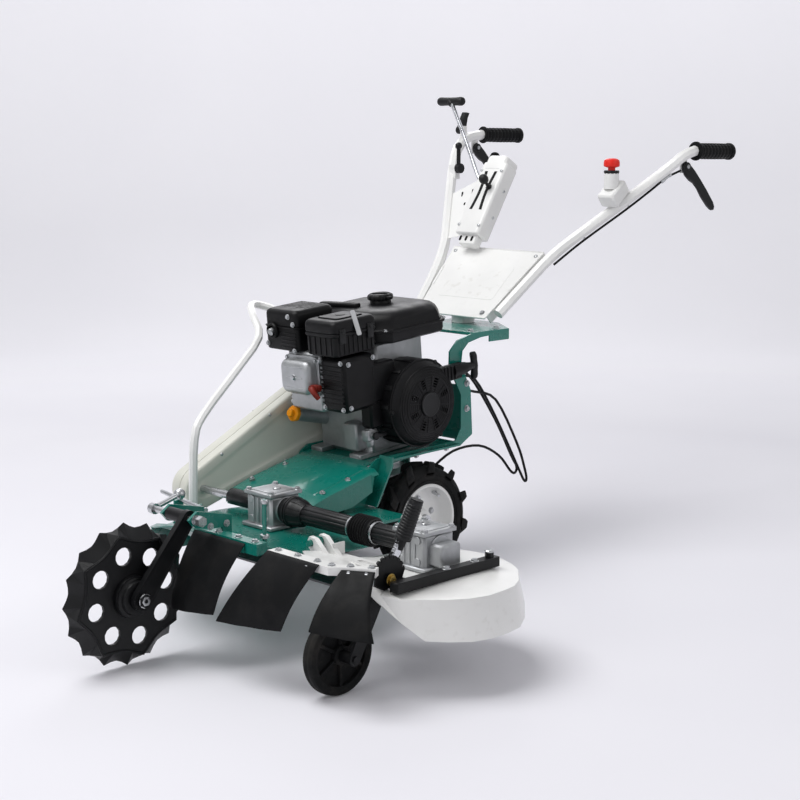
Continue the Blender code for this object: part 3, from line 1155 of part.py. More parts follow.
def make_control_box(mats):
    """The white gate housing beside the right arm, with two slots and its neck down to the panel."""
    lean = math.radians(-32)
    box = block((0.074, 0.046, 0.190), (-0.110, 0.462, 0.765), 0.006, (lean, 0, 0))
    neck = block((0.050, 0.026, 0.0624), (-0.110, 0.424, 0.6886), 0.003, (lean, 0, 0))
    cap = block((0.060, 0.052, 0.040), (-0.110, 0.515, 0.842), 0.008, (lean, 0, 0))
    plane = Matrix.Translation((-0.110, 0.4425, 0.777)) @ Matrix.Rotation(lean, 4, "X") @ Matrix.Rotation(
        math.radians(90), 4, "X")
    slots = [slab(stadium((-0.014, -0.045), 0.004, (-0.014, 0.045), 0.004, 8), 0.016, plane),
             slab(stadium((0.014, -0.045), 0.004, (0.014, 0.045), 0.004, 8), 0.016, plane.copy())]
    return solid("control_box", mats["cream"], [box, neck, cap], slots, origin=(-0.110, 0.424, 0.690))


def make_shift_lever(mats):
    """The long gear lever with its T grip, pivoting beside the control box."""
    pivot = Vector((-0.156, 0.500, 0.800))
    rod_path = [pivot, (-0.176, 0.502, 0.826), (-0.340, 0.590, 0.985), (-0.356, 0.598, 0.998)]
    eye = rod(0.012, pivot - Vector((0.005, 0, 0)), pivot + Vector((0.0085, 0, 0)), 12)
    grip = rod(0.011, (-0.398, 0.600, 1.000), (-0.316, 0.600, 1.000), 12)
    return solid("shift_lever", mats["black"], [tube(rod_path, 0.005), eye, grip], origin=pivot)


def make_small_controls(mats):
    """The safety lever, throttle lever, stop box and its red button."""
    hinge = Vector((-0.367, 0.645, 0.930))
    body = rod(0.010, hinge - Vector((0.008, 0, 0)), hinge + Vector((0.008, 0, 0)), 12)
    blade = slab([(0.636, 0.924), (0.656, 0.926), (0.664, 0.960), (0.670, 0.972), (0.658, 0.974), (0.644, 0.950)],
                 0.014, side_frame(hinge.x))
    solid("safety_lever", mats["black"], [body, blade], origin=hinge)
    turn = Vector((-0.287, 0.540, 0.838))
    hub = rod(0.012, turn + Vector((0.010, 0, 0)), turn + Vector((0.022, 0, 0)), 12)
    arm = block((0.006, 0.012, 0.050), turn + Vector((0.017, -0.004, 0.026)), 0.002)
    knob = ball(0.009, turn + Vector((0.017, -0.004, 0.054)))
    solid("throttle_lever", mats["black"], [hub, arm, knob], origin=turn + Vector((0.016, 0, 0)))
    box = block((0.046, 0.060, 0.034), (0.196, 0.548, 0.7896), 0.004, (math.radians(38), 0, 0))
    collar = rod(0.017, (0.196, 0.540, 0.800), (0.196, 0.540, 0.836), 12)
    well = rod(0.0085, (0.196, 0.540, 0.812), (0.196, 0.540, 0.85), 12)
    solid("stop_switch", mats["cream"], [box, collar], [well], origin=(0.196, 0.548, 0.792))
    profile = [(0.0, 0.868), (0.012, 0.867), (0.0180, 0.860), (0.0180, 0.848), (0.0080, 0.8425), (0.0080, 0.8185),
               (0.0, 0.8185)]
    button = turned(profile, (0.196, 0.540, 0), (0, 0, 1), 16)
    solid("stop_button", mats["red"], [button], origin=(0.196, 0.540, 0.8425))


# Cables

def make_cables(mats):
    clutch = smooth([(0.058, 0.1534, 0.412), (0.058, 0.165, 0.412), (0.056, 0.230, 0.400), (0.050, 0.320, 0.290), (0.050, 0.385, 0.190),
                     (0.050, 0.404, 0.158), (0.050, 0.392, 0.158), (0.046, 0.340, 0.205), (0.040, 0.280, 0.232),
                     (0.036, 0.200, 0.228), (0.036, 0.130, 0.198), (0.036, 0.098, 0.190), (0.036, 0.0836, 0.190)], 3)
    solid("cable_clutch", mats["rubber"], [tube(clutch, 0.0030)], origin=(0.058, 0.1534, 0.412))
    throttle = smooth([(0.080, 0.1534, 0.404), (0.080, 0.165, 0.404), (0.078, 0.225, 0.392), (0.070, 0.300, 0.300), (0.070, 0.380, 0.170),
                       (0.070, 0.405, 0.128), (0.070, 0.412, 0.140), (0.070, 0.380, 0.220), (0.072, 0.300, 0.340),
                       (0.076, 0.222, 0.356), (0.090, 0.165, 0.372), (0.090, 0.1534, 0.372)], 3)
    solid("cable_throttle", mats["rubber"], [tube(throttle, 0.0030)], origin=(0.080, 0.1534, 0.404))


# Assembly

def centre_on_base():
    """Move everything so the middle of the model's base lies on the origin."""
    bpy.context.view_layer.update()
    corners = [obj.matrix_world @ vert.co for obj in bpy.data.collections[COLLECTION].objects
               for vert in obj.data.vertices]
    low = Vector([min(corner[k] for corner in corners) for k in range(3)])
    high = Vector([max(corner[k] for corner in corners) for k in range(3)])
    shift = Vector((-(low.x + high.x) / 2, -(low.y + high.y) / 2, -low.z))
    for obj in bpy.data.collections[COLLECTION].objects:
        obj.location = obj.location + shift
    print("machine to model shift", [round(value, 5) for value in shift])
    print("size", [round(value, 4) for value in high - low])


def main():
    clear_scene()
    collection(COLLECTION)
    mats = make_materials()
    make_drive_axle(mats)
    for name, side in (("left", 1), ("right", -1)):
        make_rim(name + "_rim", side, mats)
        make_tyre(name + "_tyre", side, mats)
    make_disc_wheel(mats)
    make_disc_arm(mats)
    make_pivot_rod(mats)
    make_gauge_wheel(mats)
    make_height_lever(mats)
    make_wing_bar(mats)
    make_main_deck(mats)
    make_wing_deck(mats)
    make_blade("main_blade", MAIN_X, MAIN_BLADE_RADIUS, mats)
    make_blade("wing_blade", WING_X, WING_BLADE_RADIUS, mats)
    make_gearbox("centre_gearbox", MAIN_X, False, mats)
    make_gearbox("wing_gearbox", WING_X, True, mats)
    make_gearbox_pulley(mats)
    make_drive_shaft("drive_shaft_inner", MAIN_X + 0.006, HINGE_X - 0.008, mats)
    make_drive_shaft("drive_shaft_outer", HINGE_X + 0.008, WING_X - 0.006, mats)
    make_shaft_guard("shaft_guard_inner", MAIN_X + GEARBOX_HALF + 0.0004, HINGE_X - 0.0273, True, mats)
    make_shaft_guard("shaft_guard_outer", HINGE_X + 0.0273, WING_X - GEARBOX_HALF - 0.0004, False, mats)
    make_shaft_boot(mats)
    make_flaps(mats)
    make_drive_belt(mats)
    make_belt_cover(mats)
    make_main_frame(mats)
    make_body_cover(mats)
    make_guard_pipe(mats)
    make_transmission(mats)
    make_crankcase(mats)
    make_cylinder_head_cover(mats)
    make_engine_shroud(mats)
    make_recoil_cover(mats)
    make_recoil_grip(mats)
    make_crankshaft(mats)
    make_muffler(mats)
    make_air_cleaner(mats)
    make_fuel_tank(mats)
    make_fuel_cap(mats)
    make_fuel_cock(mats)
    make_fuel_cock_lever(mats)
    make_oil_filler_cap(mats)
    make_handle_base(mats)
    make_handle_arms(mats)
    make_grip("left_grip", LEFT_GRIP, 0.012, mats)
    make_grip("right_grip", RIGHT_GRIP, 0.020, mats)
    make_hand_lever("left_lever", (0.2834, 0.700, 0.848), (0.300, 0.782, 0.756), Vector((1, 0, 0)), mats)
    make_hand_lever("right_lever", (-0.352, 0.690, 0.886), (-0.350, 0.765, 0.806), Vector((1, 0, 0)), mats)
    make_control_box(mats)
    make_shift_lever(mats)
    make_small_controls(mats)
    make_cables(mats)
    centre_on_base()


main()
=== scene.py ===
"""Looks of the walking wing mower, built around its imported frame."""
import bpy
import bmesh
import json
import math
from mathutils import Matrix, Vector

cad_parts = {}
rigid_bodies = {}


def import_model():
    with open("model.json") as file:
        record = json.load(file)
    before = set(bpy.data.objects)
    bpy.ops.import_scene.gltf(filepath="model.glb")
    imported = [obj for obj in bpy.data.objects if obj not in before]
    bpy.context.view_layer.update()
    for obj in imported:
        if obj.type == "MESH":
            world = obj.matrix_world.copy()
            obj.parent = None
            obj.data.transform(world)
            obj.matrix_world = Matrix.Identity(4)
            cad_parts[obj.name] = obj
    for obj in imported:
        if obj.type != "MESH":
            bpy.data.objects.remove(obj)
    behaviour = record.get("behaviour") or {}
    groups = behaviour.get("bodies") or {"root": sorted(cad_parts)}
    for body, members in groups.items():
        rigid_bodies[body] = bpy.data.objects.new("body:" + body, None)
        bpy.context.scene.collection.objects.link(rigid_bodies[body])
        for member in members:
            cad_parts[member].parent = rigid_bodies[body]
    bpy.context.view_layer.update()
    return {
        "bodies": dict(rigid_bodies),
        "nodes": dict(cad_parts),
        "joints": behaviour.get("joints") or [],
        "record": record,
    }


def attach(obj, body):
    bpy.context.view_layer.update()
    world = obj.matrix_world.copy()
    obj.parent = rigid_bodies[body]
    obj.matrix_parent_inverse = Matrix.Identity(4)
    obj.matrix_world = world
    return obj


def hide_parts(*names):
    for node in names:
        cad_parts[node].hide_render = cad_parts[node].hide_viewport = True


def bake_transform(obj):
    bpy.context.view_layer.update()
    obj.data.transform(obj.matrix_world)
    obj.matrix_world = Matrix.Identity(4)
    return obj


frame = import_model()
NODES = frame["nodes"]

# Driving places, in the machine's own frame: metres, +Y to the rear, +X to the tilting deck
SHIFT = Vector((-0.16293, 0.02678, 0.0))
HEADING = math.radians(45.5)
LEAN = math.radians(5.0)
CRANK_Y, CRANK_Z = 0.01, 0.37
SPINDLE_Y, SHAFT_Z = -0.385, 0.213
MAIN_X, HINGE_X, WING_X = 0.115, 0.375, 0.525
WHEEL_X, WHEEL_RADIUS = 0.133, 0.124
DISC_CENTRE = Vector((0.18, -0.77, 0.129))
GAUGE_CENTRE = Vector((0.54, -0.605, 0.07))
SWITCH = (0.196, 0.54, 0)
LEFT_GRIP = Vector((0.288, 0.722, 0.883))
RIGHT_GRIP = Vector((-0.366, 0.722, 0.918))
ORIGIN, X, Y, Z = (0, 0, 0), (1, 0, 0), (0, 1, 0), (0, 0, 1)
MATS = {}
SMOOTHERS = {}


def M(x, y, z):
    """A point of the machine's own frame, in the model's frame."""
    return Vector((x, y, z)) + SHIFT


def mm(*rows):
    """Points written in millimetres, in metres."""
    return [tuple(value / 1000 for value in row) for row in rows]


def around(count, shift=0.0):
    """Evenly spaced angles round a turn, all moved by a share of one step."""
    return [2 * math.pi * (i + shift) / count for i in range(count)]


def spin(degrees, axis):
    return Matrix.Rotation(math.radians(degrees), 4, axis)


# camera
def make_camera():
    data = bpy.data.cameras.new("view")
    data.lens = 72.0
    data.sensor_width = 36.0
    data.clip_start = 0.05
    data.clip_end = 40.0
    cam = bpy.data.objects.new("view", data)
    bpy.context.scene.collection.objects.link(cam)
    cam.location = (2.27307, -2.29622, 0.93)
    pitch = math.radians(9.578)
    ahead = Vector((-math.sin(HEADING), math.cos(HEADING), -math.tan(pitch)))
    cam.rotation_mode = "QUATERNION"
    cam.rotation_quaternion = ahead.to_track_quat("-Z", "Y")
    bpy.context.scene.camera = cam


# node helpers
class Tree:
    """A short way to write a material's nodes."""

    def __init__(self, name):
        self.mat = bpy.data.materials.new(name)
        self.mat.use_nodes = True
        self.tree = self.mat.node_tree
        self.bsdf = self.tree.nodes["Principled BSDF"]
        self.coords = self.node("ShaderNodeTexCoord").outputs["Object"]

    def node(self, kind, **props):
        made = self.tree.nodes.new(kind)
        for key, value in props.items():
            setattr(made, key, value)
        return made

    def link(self, a, b):
        self.tree.links.new(a, b)

    def put(self, socket, value):
        """Links a socket or sets its value; a colour of three values gets its alpha."""
        if isinstance(value, bpy.types.NodeSocket):
            self.link(value, socket)
        elif isinstance(value, tuple) and len(value) == 3:
            socket.default_value = value + (1.0,)
        else:
            socket.default_value = value

    def fill(self, node, **values):
        for key, value in values.items():
            self.put(node.inputs[key.replace("_", " ")], value)

    def noise(self, scale, detail=3.0, rough=0.5, stretch=1):
        where = self.coords
        if stretch != 1:
            mapping = self.node("ShaderNodeMapping")
            mapping.inputs["Scale"].default_value = (1, 1, stretch)
            self.link(where, mapping.inputs["Vector"])
            where = mapping.outputs[0]
        made = self.node("ShaderNodeTexNoise")
        self.link(where, made.inputs["Vector"])
        self.fill(made, Scale=scale, Detail=detail, Roughness=rough)
        return made.outputs["Fac"]

    def ramp(self, fac, low, high, a=0.35, b=0.65):
        made = self.node("ShaderNodeValToRGB")
        self.link(fac, made.inputs[0])
        for stop, place, value in zip(made.color_ramp.elements, (a, b), (low, high)):
            stop.position = place
            stop.color = value + (1.0,)
        return made.outputs["Color"]

    def span(self, value, a, b, low, high):
        made = self.node("ShaderNodeMapRange")
        self.fill(made, Value=value, From_Min=a, From_Max=b, To_Min=low, To_Max=high)
        return made.outputs["Result"]

    def math(self, op, a, b=0.0):
        made = self.node("ShaderNodeMath", operation=op)
        self.put(made.inputs[0], a)
        self.put(made.inputs[1], b)
        return made.outputs[0]

    def mix(self, fac, a, b):
        made = self.node("ShaderNodeMix", data_type="RGBA")
        self.put(made.inputs["Factor"], fac)
        self.put(made.inputs[6], a)
        self.put(made.inputs[7], b)
        return made.outputs[2]

    def height(self):
        split = self.node("ShaderNodeSeparateXYZ")
        self.link(self.coords, split.inputs[0])
        return split.outputs["Z"]

    def edges(self, low, high):
        geometry = self.node("ShaderNodeNewGeometry")
        return self.span(geometry.outputs["Pointiness"], low, high, 0.0, 1.0)

    def bump(self, height, strength, distance):
        made = self.node("ShaderNodeBump")
        self.fill(made, Strength=strength, Distance=distance, Height=height)
        self.link(made.outputs[0], self.bsdf.inputs["Normal"])

    def colour(self, value):
        self.put(self.bsdf.inputs["Base Color"], value)

    def set(self, **values):
        self.fill(self.bsdf, **values)


def linear(r, g, b):
    """Screen colour 0-255 to the linear value Blender mixes in."""
    def one(c):
        c /= 255.0
        return c / 12.92 if c <= 0.04045 else ((c + 0.055) / 1.055) ** 2.4
    return (one(r), one(g), one(b))


def scaled(c, k):
    return tuple(min(1.0, v * k) for v in c)


# materials
def painted(name, colour, rough=0.32, coat=0.35, dust=0.25, chip=None):
    """Sprayed enamel: slight orange peel, faint clouding, dust low down, worn edges."""
    t = Tree(name)
    cloud = t.noise(6.0, 4.0)
    base = t.ramp(cloud, scaled(colour, 0.92), scaled(colour, 1.05), 0.3, 0.7)
    grime = t.math("MULTIPLY", t.span(t.height(), 0.0, 0.22, dust, 0.0),
            t.span(t.noise(9.0, 5.0, 0.55), 0.4, 0.75, 0.0, 1.0))
    base = t.mix(grime, base, linear(170, 165, 152))
    if chip:
        wear = t.math("MULTIPLY", t.edges(0.56, 0.66), t.span(t.noise(60.0, 3.0), 0.58, 0.72, 0.0, 0.3))
        base = t.mix(wear, base, chip)
    t.colour(base)
    t.set(Roughness=t.span(t.noise(28.0, 4.0), 0.3, 0.7, rough - 0.05, rough + 0.07))
    t.set(Coat_Weight=coat, Coat_Roughness=0.12, Specular_IOR_Level=0.5)
    t.bump(t.noise(420.0, 2.0), 0.1, 0.0006)
    return t.mat


def moulded(name, colour, rough=0.45, grain=0.35, scale=900.0, shine=0.3):
    """Moulded plastic or powder coat with a fine grain."""
    t = Tree(name)
    base = t.ramp(t.noise(9.0, 4.0), scaled(colour, 0.85), scaled(colour, 1.2), 0.3, 0.7)
    scuff = t.math("MULTIPLY", t.edges(0.55, 0.64), t.span(t.noise(70.0, 4.0), 0.45, 0.7, 0.0, 0.22))
    base = t.mix(scuff, base, scaled(colour, 2.6))
    t.colour(base)
    t.set(Roughness=t.span(t.noise(34.0, 5.0), 0.3, 0.7, rough - 0.07, rough + 0.09),
            Specular_IOR_Level=shine)
    t.bump(t.noise(scale, 2.0), grain, 0.0005)
    return t.mat


def cast(name, colour, rough=0.42, metal=0.85):
    """Cast aluminium: sand texture, uneven tone, a little oil staining."""
    t = Tree(name)
    base = t.ramp(t.noise(14.0, 5.0, 0.6), scaled(colour, 0.78), scaled(colour, 1.08), 0.3, 0.7)
    stain = t.span(t.noise(5.0, 6.0, 0.6), 0.55, 0.75, 0.0, 0.5)
    base = t.mix(stain, base, scaled(colour, 0.5))
    t.colour(base)
    t.set(Metallic=metal, Roughness=t.span(t.noise(60.0, 4.0), 0.3, 0.7, rough - 0.06, rough + 0.14))
    t.bump(t.noise(520.0, 4.0, 0.7), 0.35, 0.0006)
    return t.mat


def plated(name, colour, rough=0.25, metal=1.0):
    """Zinc or chrome plated steel with fine drawing lines."""
    t = Tree(name)
    base = t.ramp(t.noise(40.0, 4.0), scaled(colour, 0.8), scaled(colour, 1.1), 0.3, 0.7)
    t.colour(base)
    lines = t.noise(60.0, 3.0, 0.5, 24)
    t.set(Metallic=metal, Roughness=t.span(lines, 0.3, 0.7, rough - 0.08, rough + 0.12))
    t.bump(lines, 0.06, 0.0003)
    return t.mat


def rubbery(name, colour, rough=0.62, bump=0.25, dust=0.35, scale=260.0):
    """Black rubber with a dull bloom and dust that thickens towards the ground."""
    t = Tree(name)
    base = t.ramp(t.noise(11.0, 5.0), scaled(colour, 0.75), scaled(colour, 1.35), 0.3, 0.7)
    bloom = t.math("MULTIPLY", t.span(t.noise(26.0, 6.0, 0.65), 0.46, 0.72, 0.0, 1.0),
            t.span(t.height(), 0.0, 0.35, dust, 0.04))
    base = t.mix(bloom, base, linear(112, 106, 98))
    t.colour(base)
    t.set(Roughness=t.span(t.noise(40.0, 4.0), 0.3, 0.7, rough - 0.08, rough + 0.1))
    t.set(Sheen_Weight=0.02, Sheen_Roughness=0.5, Specular_IOR_Level=0.15)
    t.bump(t.noise(scale, 3.0, 0.6), bump, 0.0007)
    return t.mat


def make_materials():
    m = {}
    m["green"] = painted("green_paint", linear(0, 115, 102), 0.28, 0.5, 0.1, linear(60, 110, 98))
    m["white"] = painted("white_paint", linear(236, 236, 234), 0.34, 0.3, 0.12, linear(190, 187, 180))
    m["cream"] = painted("cream_plastic", linear(208, 208, 198), 0.42, 0.15, 0.25)
    m["cast"] = cast("cast_aluminium", linear(184, 186, 188))
    m["engine_black"] = moulded("engine_black", linear(12, 12, 14), 0.42, 0.22, 700.0, 0.24)
    m["muffler_black"] = moulded("muffler_black", linear(10, 10, 12), 0.44, 0.3, 460.0, 0.22)
    m["black_metal"] = moulded("black_metal", linear(11, 12, 14), 0.4, 0.28, 520.0, 0.26)
    m["black_plastic"] = moulded("black_plastic", linear(13, 14, 16), 0.42, 0.32, 900.0, 0.35)
    # Painted shade: a near-black finish for thin sheets laid in slots, standing in for the shade inside the
    # openings.
    m["painted_slot_shade"] = moulded("painted_slot_shade", linear(10, 10, 11), 0.75, 0.2, 500.0)
    m["rubber"] = rubbery("rubber", linear(9, 10, 12), 0.5, 0.16, 0.03)
    m["cable"] = rubbery("cable_sleeve", linear(16, 16, 18), 0.4, 0.1, 0.05)
    m["tyre"] = rubbery("tyre_rubber", linear(17, 18, 19), 0.7, 0.35, 0.14)
    m["steel"] = plated("zinc_steel", linear(196, 198, 200), 0.28)
    m["blade_steel"] = plated("blade_steel", linear(90, 90, 92), 0.42, 0.9)
    m["amber"] = moulded("amber_plastic", linear(244, 152, 12), 0.35, 0.15, 500.0)
    m["red"] = moulded("red_plastic", linear(222, 42, 32), 0.32, 0.1, 500.0)
    m["plug_red"] = moulded("plug_rubber", linear(120, 34, 24), 0.48, 0.2, 500.0)
    m["label"] = moulded("pale_plate", linear(196, 197, 198), 0.4, 0.08, 500.0)
    m["brass"] = plated("brass_plate", linear(196, 168, 96), 0.3)
    m["chrome"] = plated("bright_chrome", linear(214, 216, 220), 0.16)
    return m


# shapes
MM = Matrix.Translation(SHIFT)
EM = Matrix.Translation(M(0, CRANK_Y, CRANK_Z)) @ Matrix.Rotation(LEAN, 4, "X")
PANEL = Matrix.Translation(M(-0.038, 0.356, 0.598)) @ spin(41, "X")
GATE = Matrix.Translation(M(-0.11, 0.462, 0.765)) @ spin(-32, "X")


def turn_to(axis):
    """A rotation that takes +Z to the given direction."""
    return Vector(axis).to_track_quat("Z", "Y").to_matrix().to_4x4()


def curved(points, steps=6):
    """A smooth run of points through the given ones."""
    pts = [Vector(p) for p in points]
    pts = [pts[0] * 2 - pts[1]] + pts + [pts[-1] * 2 - pts[-2]]
    out = []
    for i in range(1, len(pts) - 2):
        a, b, c, d = pts[i - 1:i + 3]
        for k in range(steps):
            t = k / steps
            out.append(0.5 * ((2 * b) + (c - a) * t + (2 * a - 5 * b + 4 * c - d) * t * t
                    + (3 * b - a - 3 * c + d) * t * t * t))
    out.append(pts[-2])
    return out


class Shape:
    """Gathers the parts of one piece in a chosen frame."""

    def __init__(self, frame=MM):
        self.bm = bmesh.new()
        self.frame = frame

    def rings(self, rings, wrap=True, caps=True, loop=False):
        """Skins rows of points; the ends are filled when caps is set, or joined when loop is."""
        rows = [[self.bm.verts.new(p) for p in ring] for ring in rings]
        count = len(rows[0])
        after = rows[1:] + ([rows[0]] if loop else [])
        for a, b in zip(rows, after):
            for i in range(count if wrap else count - 1):
                j = (i + 1) % count
                self.bm.faces.new((a[i], a[j], b[j], b[i]))
        if caps:
            self.bm.faces.new(rows[0][::-1])
            self.bm.faces.new(rows[-1])

    def turned(self, profile, centre, axis, steps=40, loop=False, wave=0.0, waves=0):
        """Spins (radius, height) points round an axis; wave adds lobes to the radius."""
        place = Matrix.Translation(Vector(centre)) @ turn_to(axis)
        rows = []
        for radius, height in profile:
            ring = []
            for a in around(steps):
                r = max(radius, 0.0002) * (1 + wave * math.cos(waves * a))
                ring.append(place @ Vector((r * math.cos(a), r * math.sin(a), height)))
            rows.append(ring)
        self.rings(rows, True, not loop, loop)

    def box(self, size, centre, turn=None, bevel=0.0015, segments=2):
        place = Matrix.Translation(Vector(centre))
        if turn is not None:
            place = place @ turn
        made = bmesh.ops.create_cube(self.bm, size=1.0)["verts"]
        for v in made:
            v.co = place @ Vector((v.co.x * size[0], v.co.y * size[1], v.co.z * size[2]))
        if bevel:
            edges = list({e for v in made for e in v.link_edges})
            bmesh.ops.bevel(self.bm, geom=edges, offset=min(bevel, min(size) * 0.45), segments=segments,
                    affect="EDGES", profile=0.5)

    def bolt(self, place, axis, size=0.01, height=0.004, washer=True):
        """A hexagon head with a chamfered top on its washer."""
        r = size / 2
        at = Vector(place)
        n = Vector(axis).normalized()
        if washer:
            self.turned([(r * 1.35, 0.0), (r * 1.35, 0.0008), (r * 1.3, 0.0011), (r * 0.4, 0.0011)], at, n,
                    20)
        self.turned([(r, 0.0008), (r, height * 0.86), (r * 0.88, height), (r * 0.45, height),
                (r * 0.4, height * 0.9)], at, n, 6)

    def screw(self, place, axis, size=0.008):
        """A pan head with a round recess."""
        r = size / 2
        at = Vector(place)
        n = Vector(axis).normalized()
        self.turned([(r, 0.0), (r, r * 0.25), (r * 0.85, r * 0.5), (r * 0.55, r * 0.66),
                (r * 0.3, r * 0.66), (r * 0.2, r * 0.35)], at, n, 20)

    def tube(self, points, radius, sides=14):
        pts = [Vector(p) for p in points]
        rows = []
        side = None
        for i, p in enumerate(pts):
            ahead = (pts[min(i + 1, len(pts) - 1)] - pts[max(i - 1, 0)]).normalized()
            if side is None:
                side = ahead.orthogonal().normalized()
            side = (side - ahead * side.dot(ahead)).normalized()
            up = ahead.cross(side)
            r = radius[i] if isinstance(radius, (list, tuple)) else radius
            rows.append([p + side * (r * math.cos(a)) + up * (r * math.sin(a)) for a in around(sides)])
        self.rings(rows)

    def slab(self, outline, thickness, place, bevel=0.0008):
        """A plate of an outline in the XY plane of place, with softened rims."""
        n = len(outline)
        cx = sum(p[0] for p in outline) / n
        cy = sum(p[1] for p in outline) / n
        def ring(z, inset):
            out = []
            for x, y in outline:
                d = math.hypot(x - cx, y - cy) or 1.0
                k = 1 - inset / d
                out.append(place @ Vector((cx + (x - cx) * k, cy + (y - cy) * k, z)))
            return out
        h = thickness / 2
        self.rings([ring(-h, bevel), ring(-h + bevel, 0), ring(h - bevel, 0), ring(h, bevel)])

    def make(self, name, mat, body, angle=36.0, replaces=()):
        bm = self.bm
        bm.transform(self.frame)
        bmesh.ops.recalc_face_normals(bm, faces=bm.faces)
        for f in bm.faces:
            f.smooth = True
        limit = math.radians(angle)
        for e in bm.edges:
            e.smooth = not (len(e.link_faces) == 2 and e.calc_face_angle(0.0) > limit)
        mesh = bpy.data.meshes.new(name)
        bm.to_mesh(mesh)
        bm.free()
        mesh.materials.append(MATS[mat])
        piece = bpy.data.objects.new(name, mesh)
        bpy.context.scene.collection.objects.link(piece)
        if body:
            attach(piece, body)
        if replaces:
            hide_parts(*replaces)
        return piece


def round_outline(width, height, radius, steps=6):
    """A rectangle with rounded corners, counter-clockwise."""
    out = []
    for cx, cy, start in ((width / 2 - radius, height / 2 - radius, 0),
            (radius - width / 2, height / 2 - radius, 90), (radius - width / 2, radius - height / 2, 180),
            (width / 2 - radius, radius - height / 2, 270)):
        for i in range(steps + 1):
            a = math.radians(start + 90 * i / steps)
            out.append((cx + radius * math.cos(a), cy + radius * math.sin(a)))
    return out


def belt_outline(first, r1, second, r2, count=24):
    """The outline of a belt round two circles."""
    first, second = Vector(first), Vector(second)
    across = second - first
    base = math.atan2(across.y, across.x)
    lean = math.acos((r1 - r2) / across.length)
    out = []
    for i in range(count + 1):
        a = base + lean + (2 * math.pi - 2 * lean) * i / count
        out.append((first.x + r1 * math.cos(a), first.y + r1 * math.sin(a)))
    for i in range(count + 1):
        a = base - lean + 2 * lean * i / count
        out.append((second.x + r2 * math.cos(a), second.y + r2 * math.sin(a)))
    return out


# wheels
def make_wheels():
    for side, name in ((1, "left"), (-1, "right")):
        centre = Vector((side * WHEEL_X, 0, WHEEL_RADIUS))
        s = Shape()
        half = 0.0258
        wall = [(r, half + d) for r, d in mm((76.2, -8), (79, -4.5), (84, -2.2), (90, -0.8), (96, -0.4),
                (102, -1.2), (108, -4.2), (112, -8.5), (113.5, -15), (114, -25.8))]
        profile = wall + [(r, -x) for r, x in reversed(wall[:-1])]
        s.turned(profile, centre, (side, 0, 0), 72, loop=True)
        for ring in (0.0862, 0.0985):
            for k in (-1, 1):
                out = [(ring - 0.0012, k * (half - 0.0022)), (ring - 0.0005, k * (half - 0.0001)),
                        (ring + 0.0005, k * (half - 0.0001)), (ring + 0.0012, k * (half - 0.0022))]
                s.turned(out, centre, (side, 0, 0), 72, loop=True)
        count = 11
        for i in range(count):
            for row in (-1, 1):
                a0 = 2 * math.pi * (i + 0.25 * row) / count
                rows = []
                for k in range(9):
                    t = k / 8
                    x = row * (0.0005 + 0.025 * min(1.0, t * 1.25))
                    drop = max(0.0, t - 0.72) / 0.28
                    top = 0.1236 - 0.0015 * t * t - 0.0205 * drop ** 1.6
                    base = 0.111 - 0.014 * drop
                    a = a0 + 0.27 * t
                    wide = 0.0068 + 0.0016 * t
                    ring = []
                    for r, w in ((base, -1.45), (top - 0.0016, -1.03), (top, -0.78), (top, 0.78),
                            (top - 0.0016, 1.03), (base, 1.45)):
                        turn = a + w * wide / 0.12
                        ring.append(centre + Vector((x, r * math.cos(turn), r * math.sin(turn))))
                    rows.append(ring)
                s.rings(rows)
        s.make(name + "_tyre_lugged", "tyre", "drive_wheels", 42, (name + "_tyre",))
        s = Shape()
        dish = mm((12.8, 12), (19.5, 12), (20.5, 11.2), (23.5, -2), (26.2, -6.5), (30, -8.5), (38, -9.8),
                (48, -11.2), (56, -12), (61, -10.5), (65.5, -5), (69.5, 4.5), (71.2, 13), (71.8, 20),
                (72.8, 23.2), (74.8, 23.8), (77.2, 23.4), (78.8, 22.2), (79, 20.2), (77.2, 19.2),
                (75.2, 18.6), (75, 10), (73.5, 0), (75, -10), (75.2, -18.6), (77.6, -19.4), (79, -20.8),
                (78.5, -22.6), (76, -23.8), (72.2, -23.8), (71.6, -19), (66, -17.8), (58, -17.2),
                (20, -18), (12.8, -18))
        s.turned(dish, centre, (side, 0, 0), 72, loop=True)
        s.make(name + "_rim_pressed", "white", "drive_wheels", 40, (name + "_rim",))
        s = Shape()
        for a in around(5, 0.2):
            spot = centre + Vector((-side * 0.01, 0.043 * math.cos(a), 0.043 * math.sin(a)))
            s.bolt(spot, (side, 0, 0), 0.011, 0.005)
        valve = centre + Vector((side * 0.001, 0.0655 * math.cos(0.9), 0.0655 * math.sin(0.9)))
        s.turned(mm((4.5, -4), (4.5, 4), (3.3, 6), (3.3, 17), (2.8, 18)), valve,
                (side, -0.3 * math.cos(0.9), -0.3 * math.sin(0.9)), 14)
        s.make(name + "_rim_bolts", "steel", "drive_wheels")


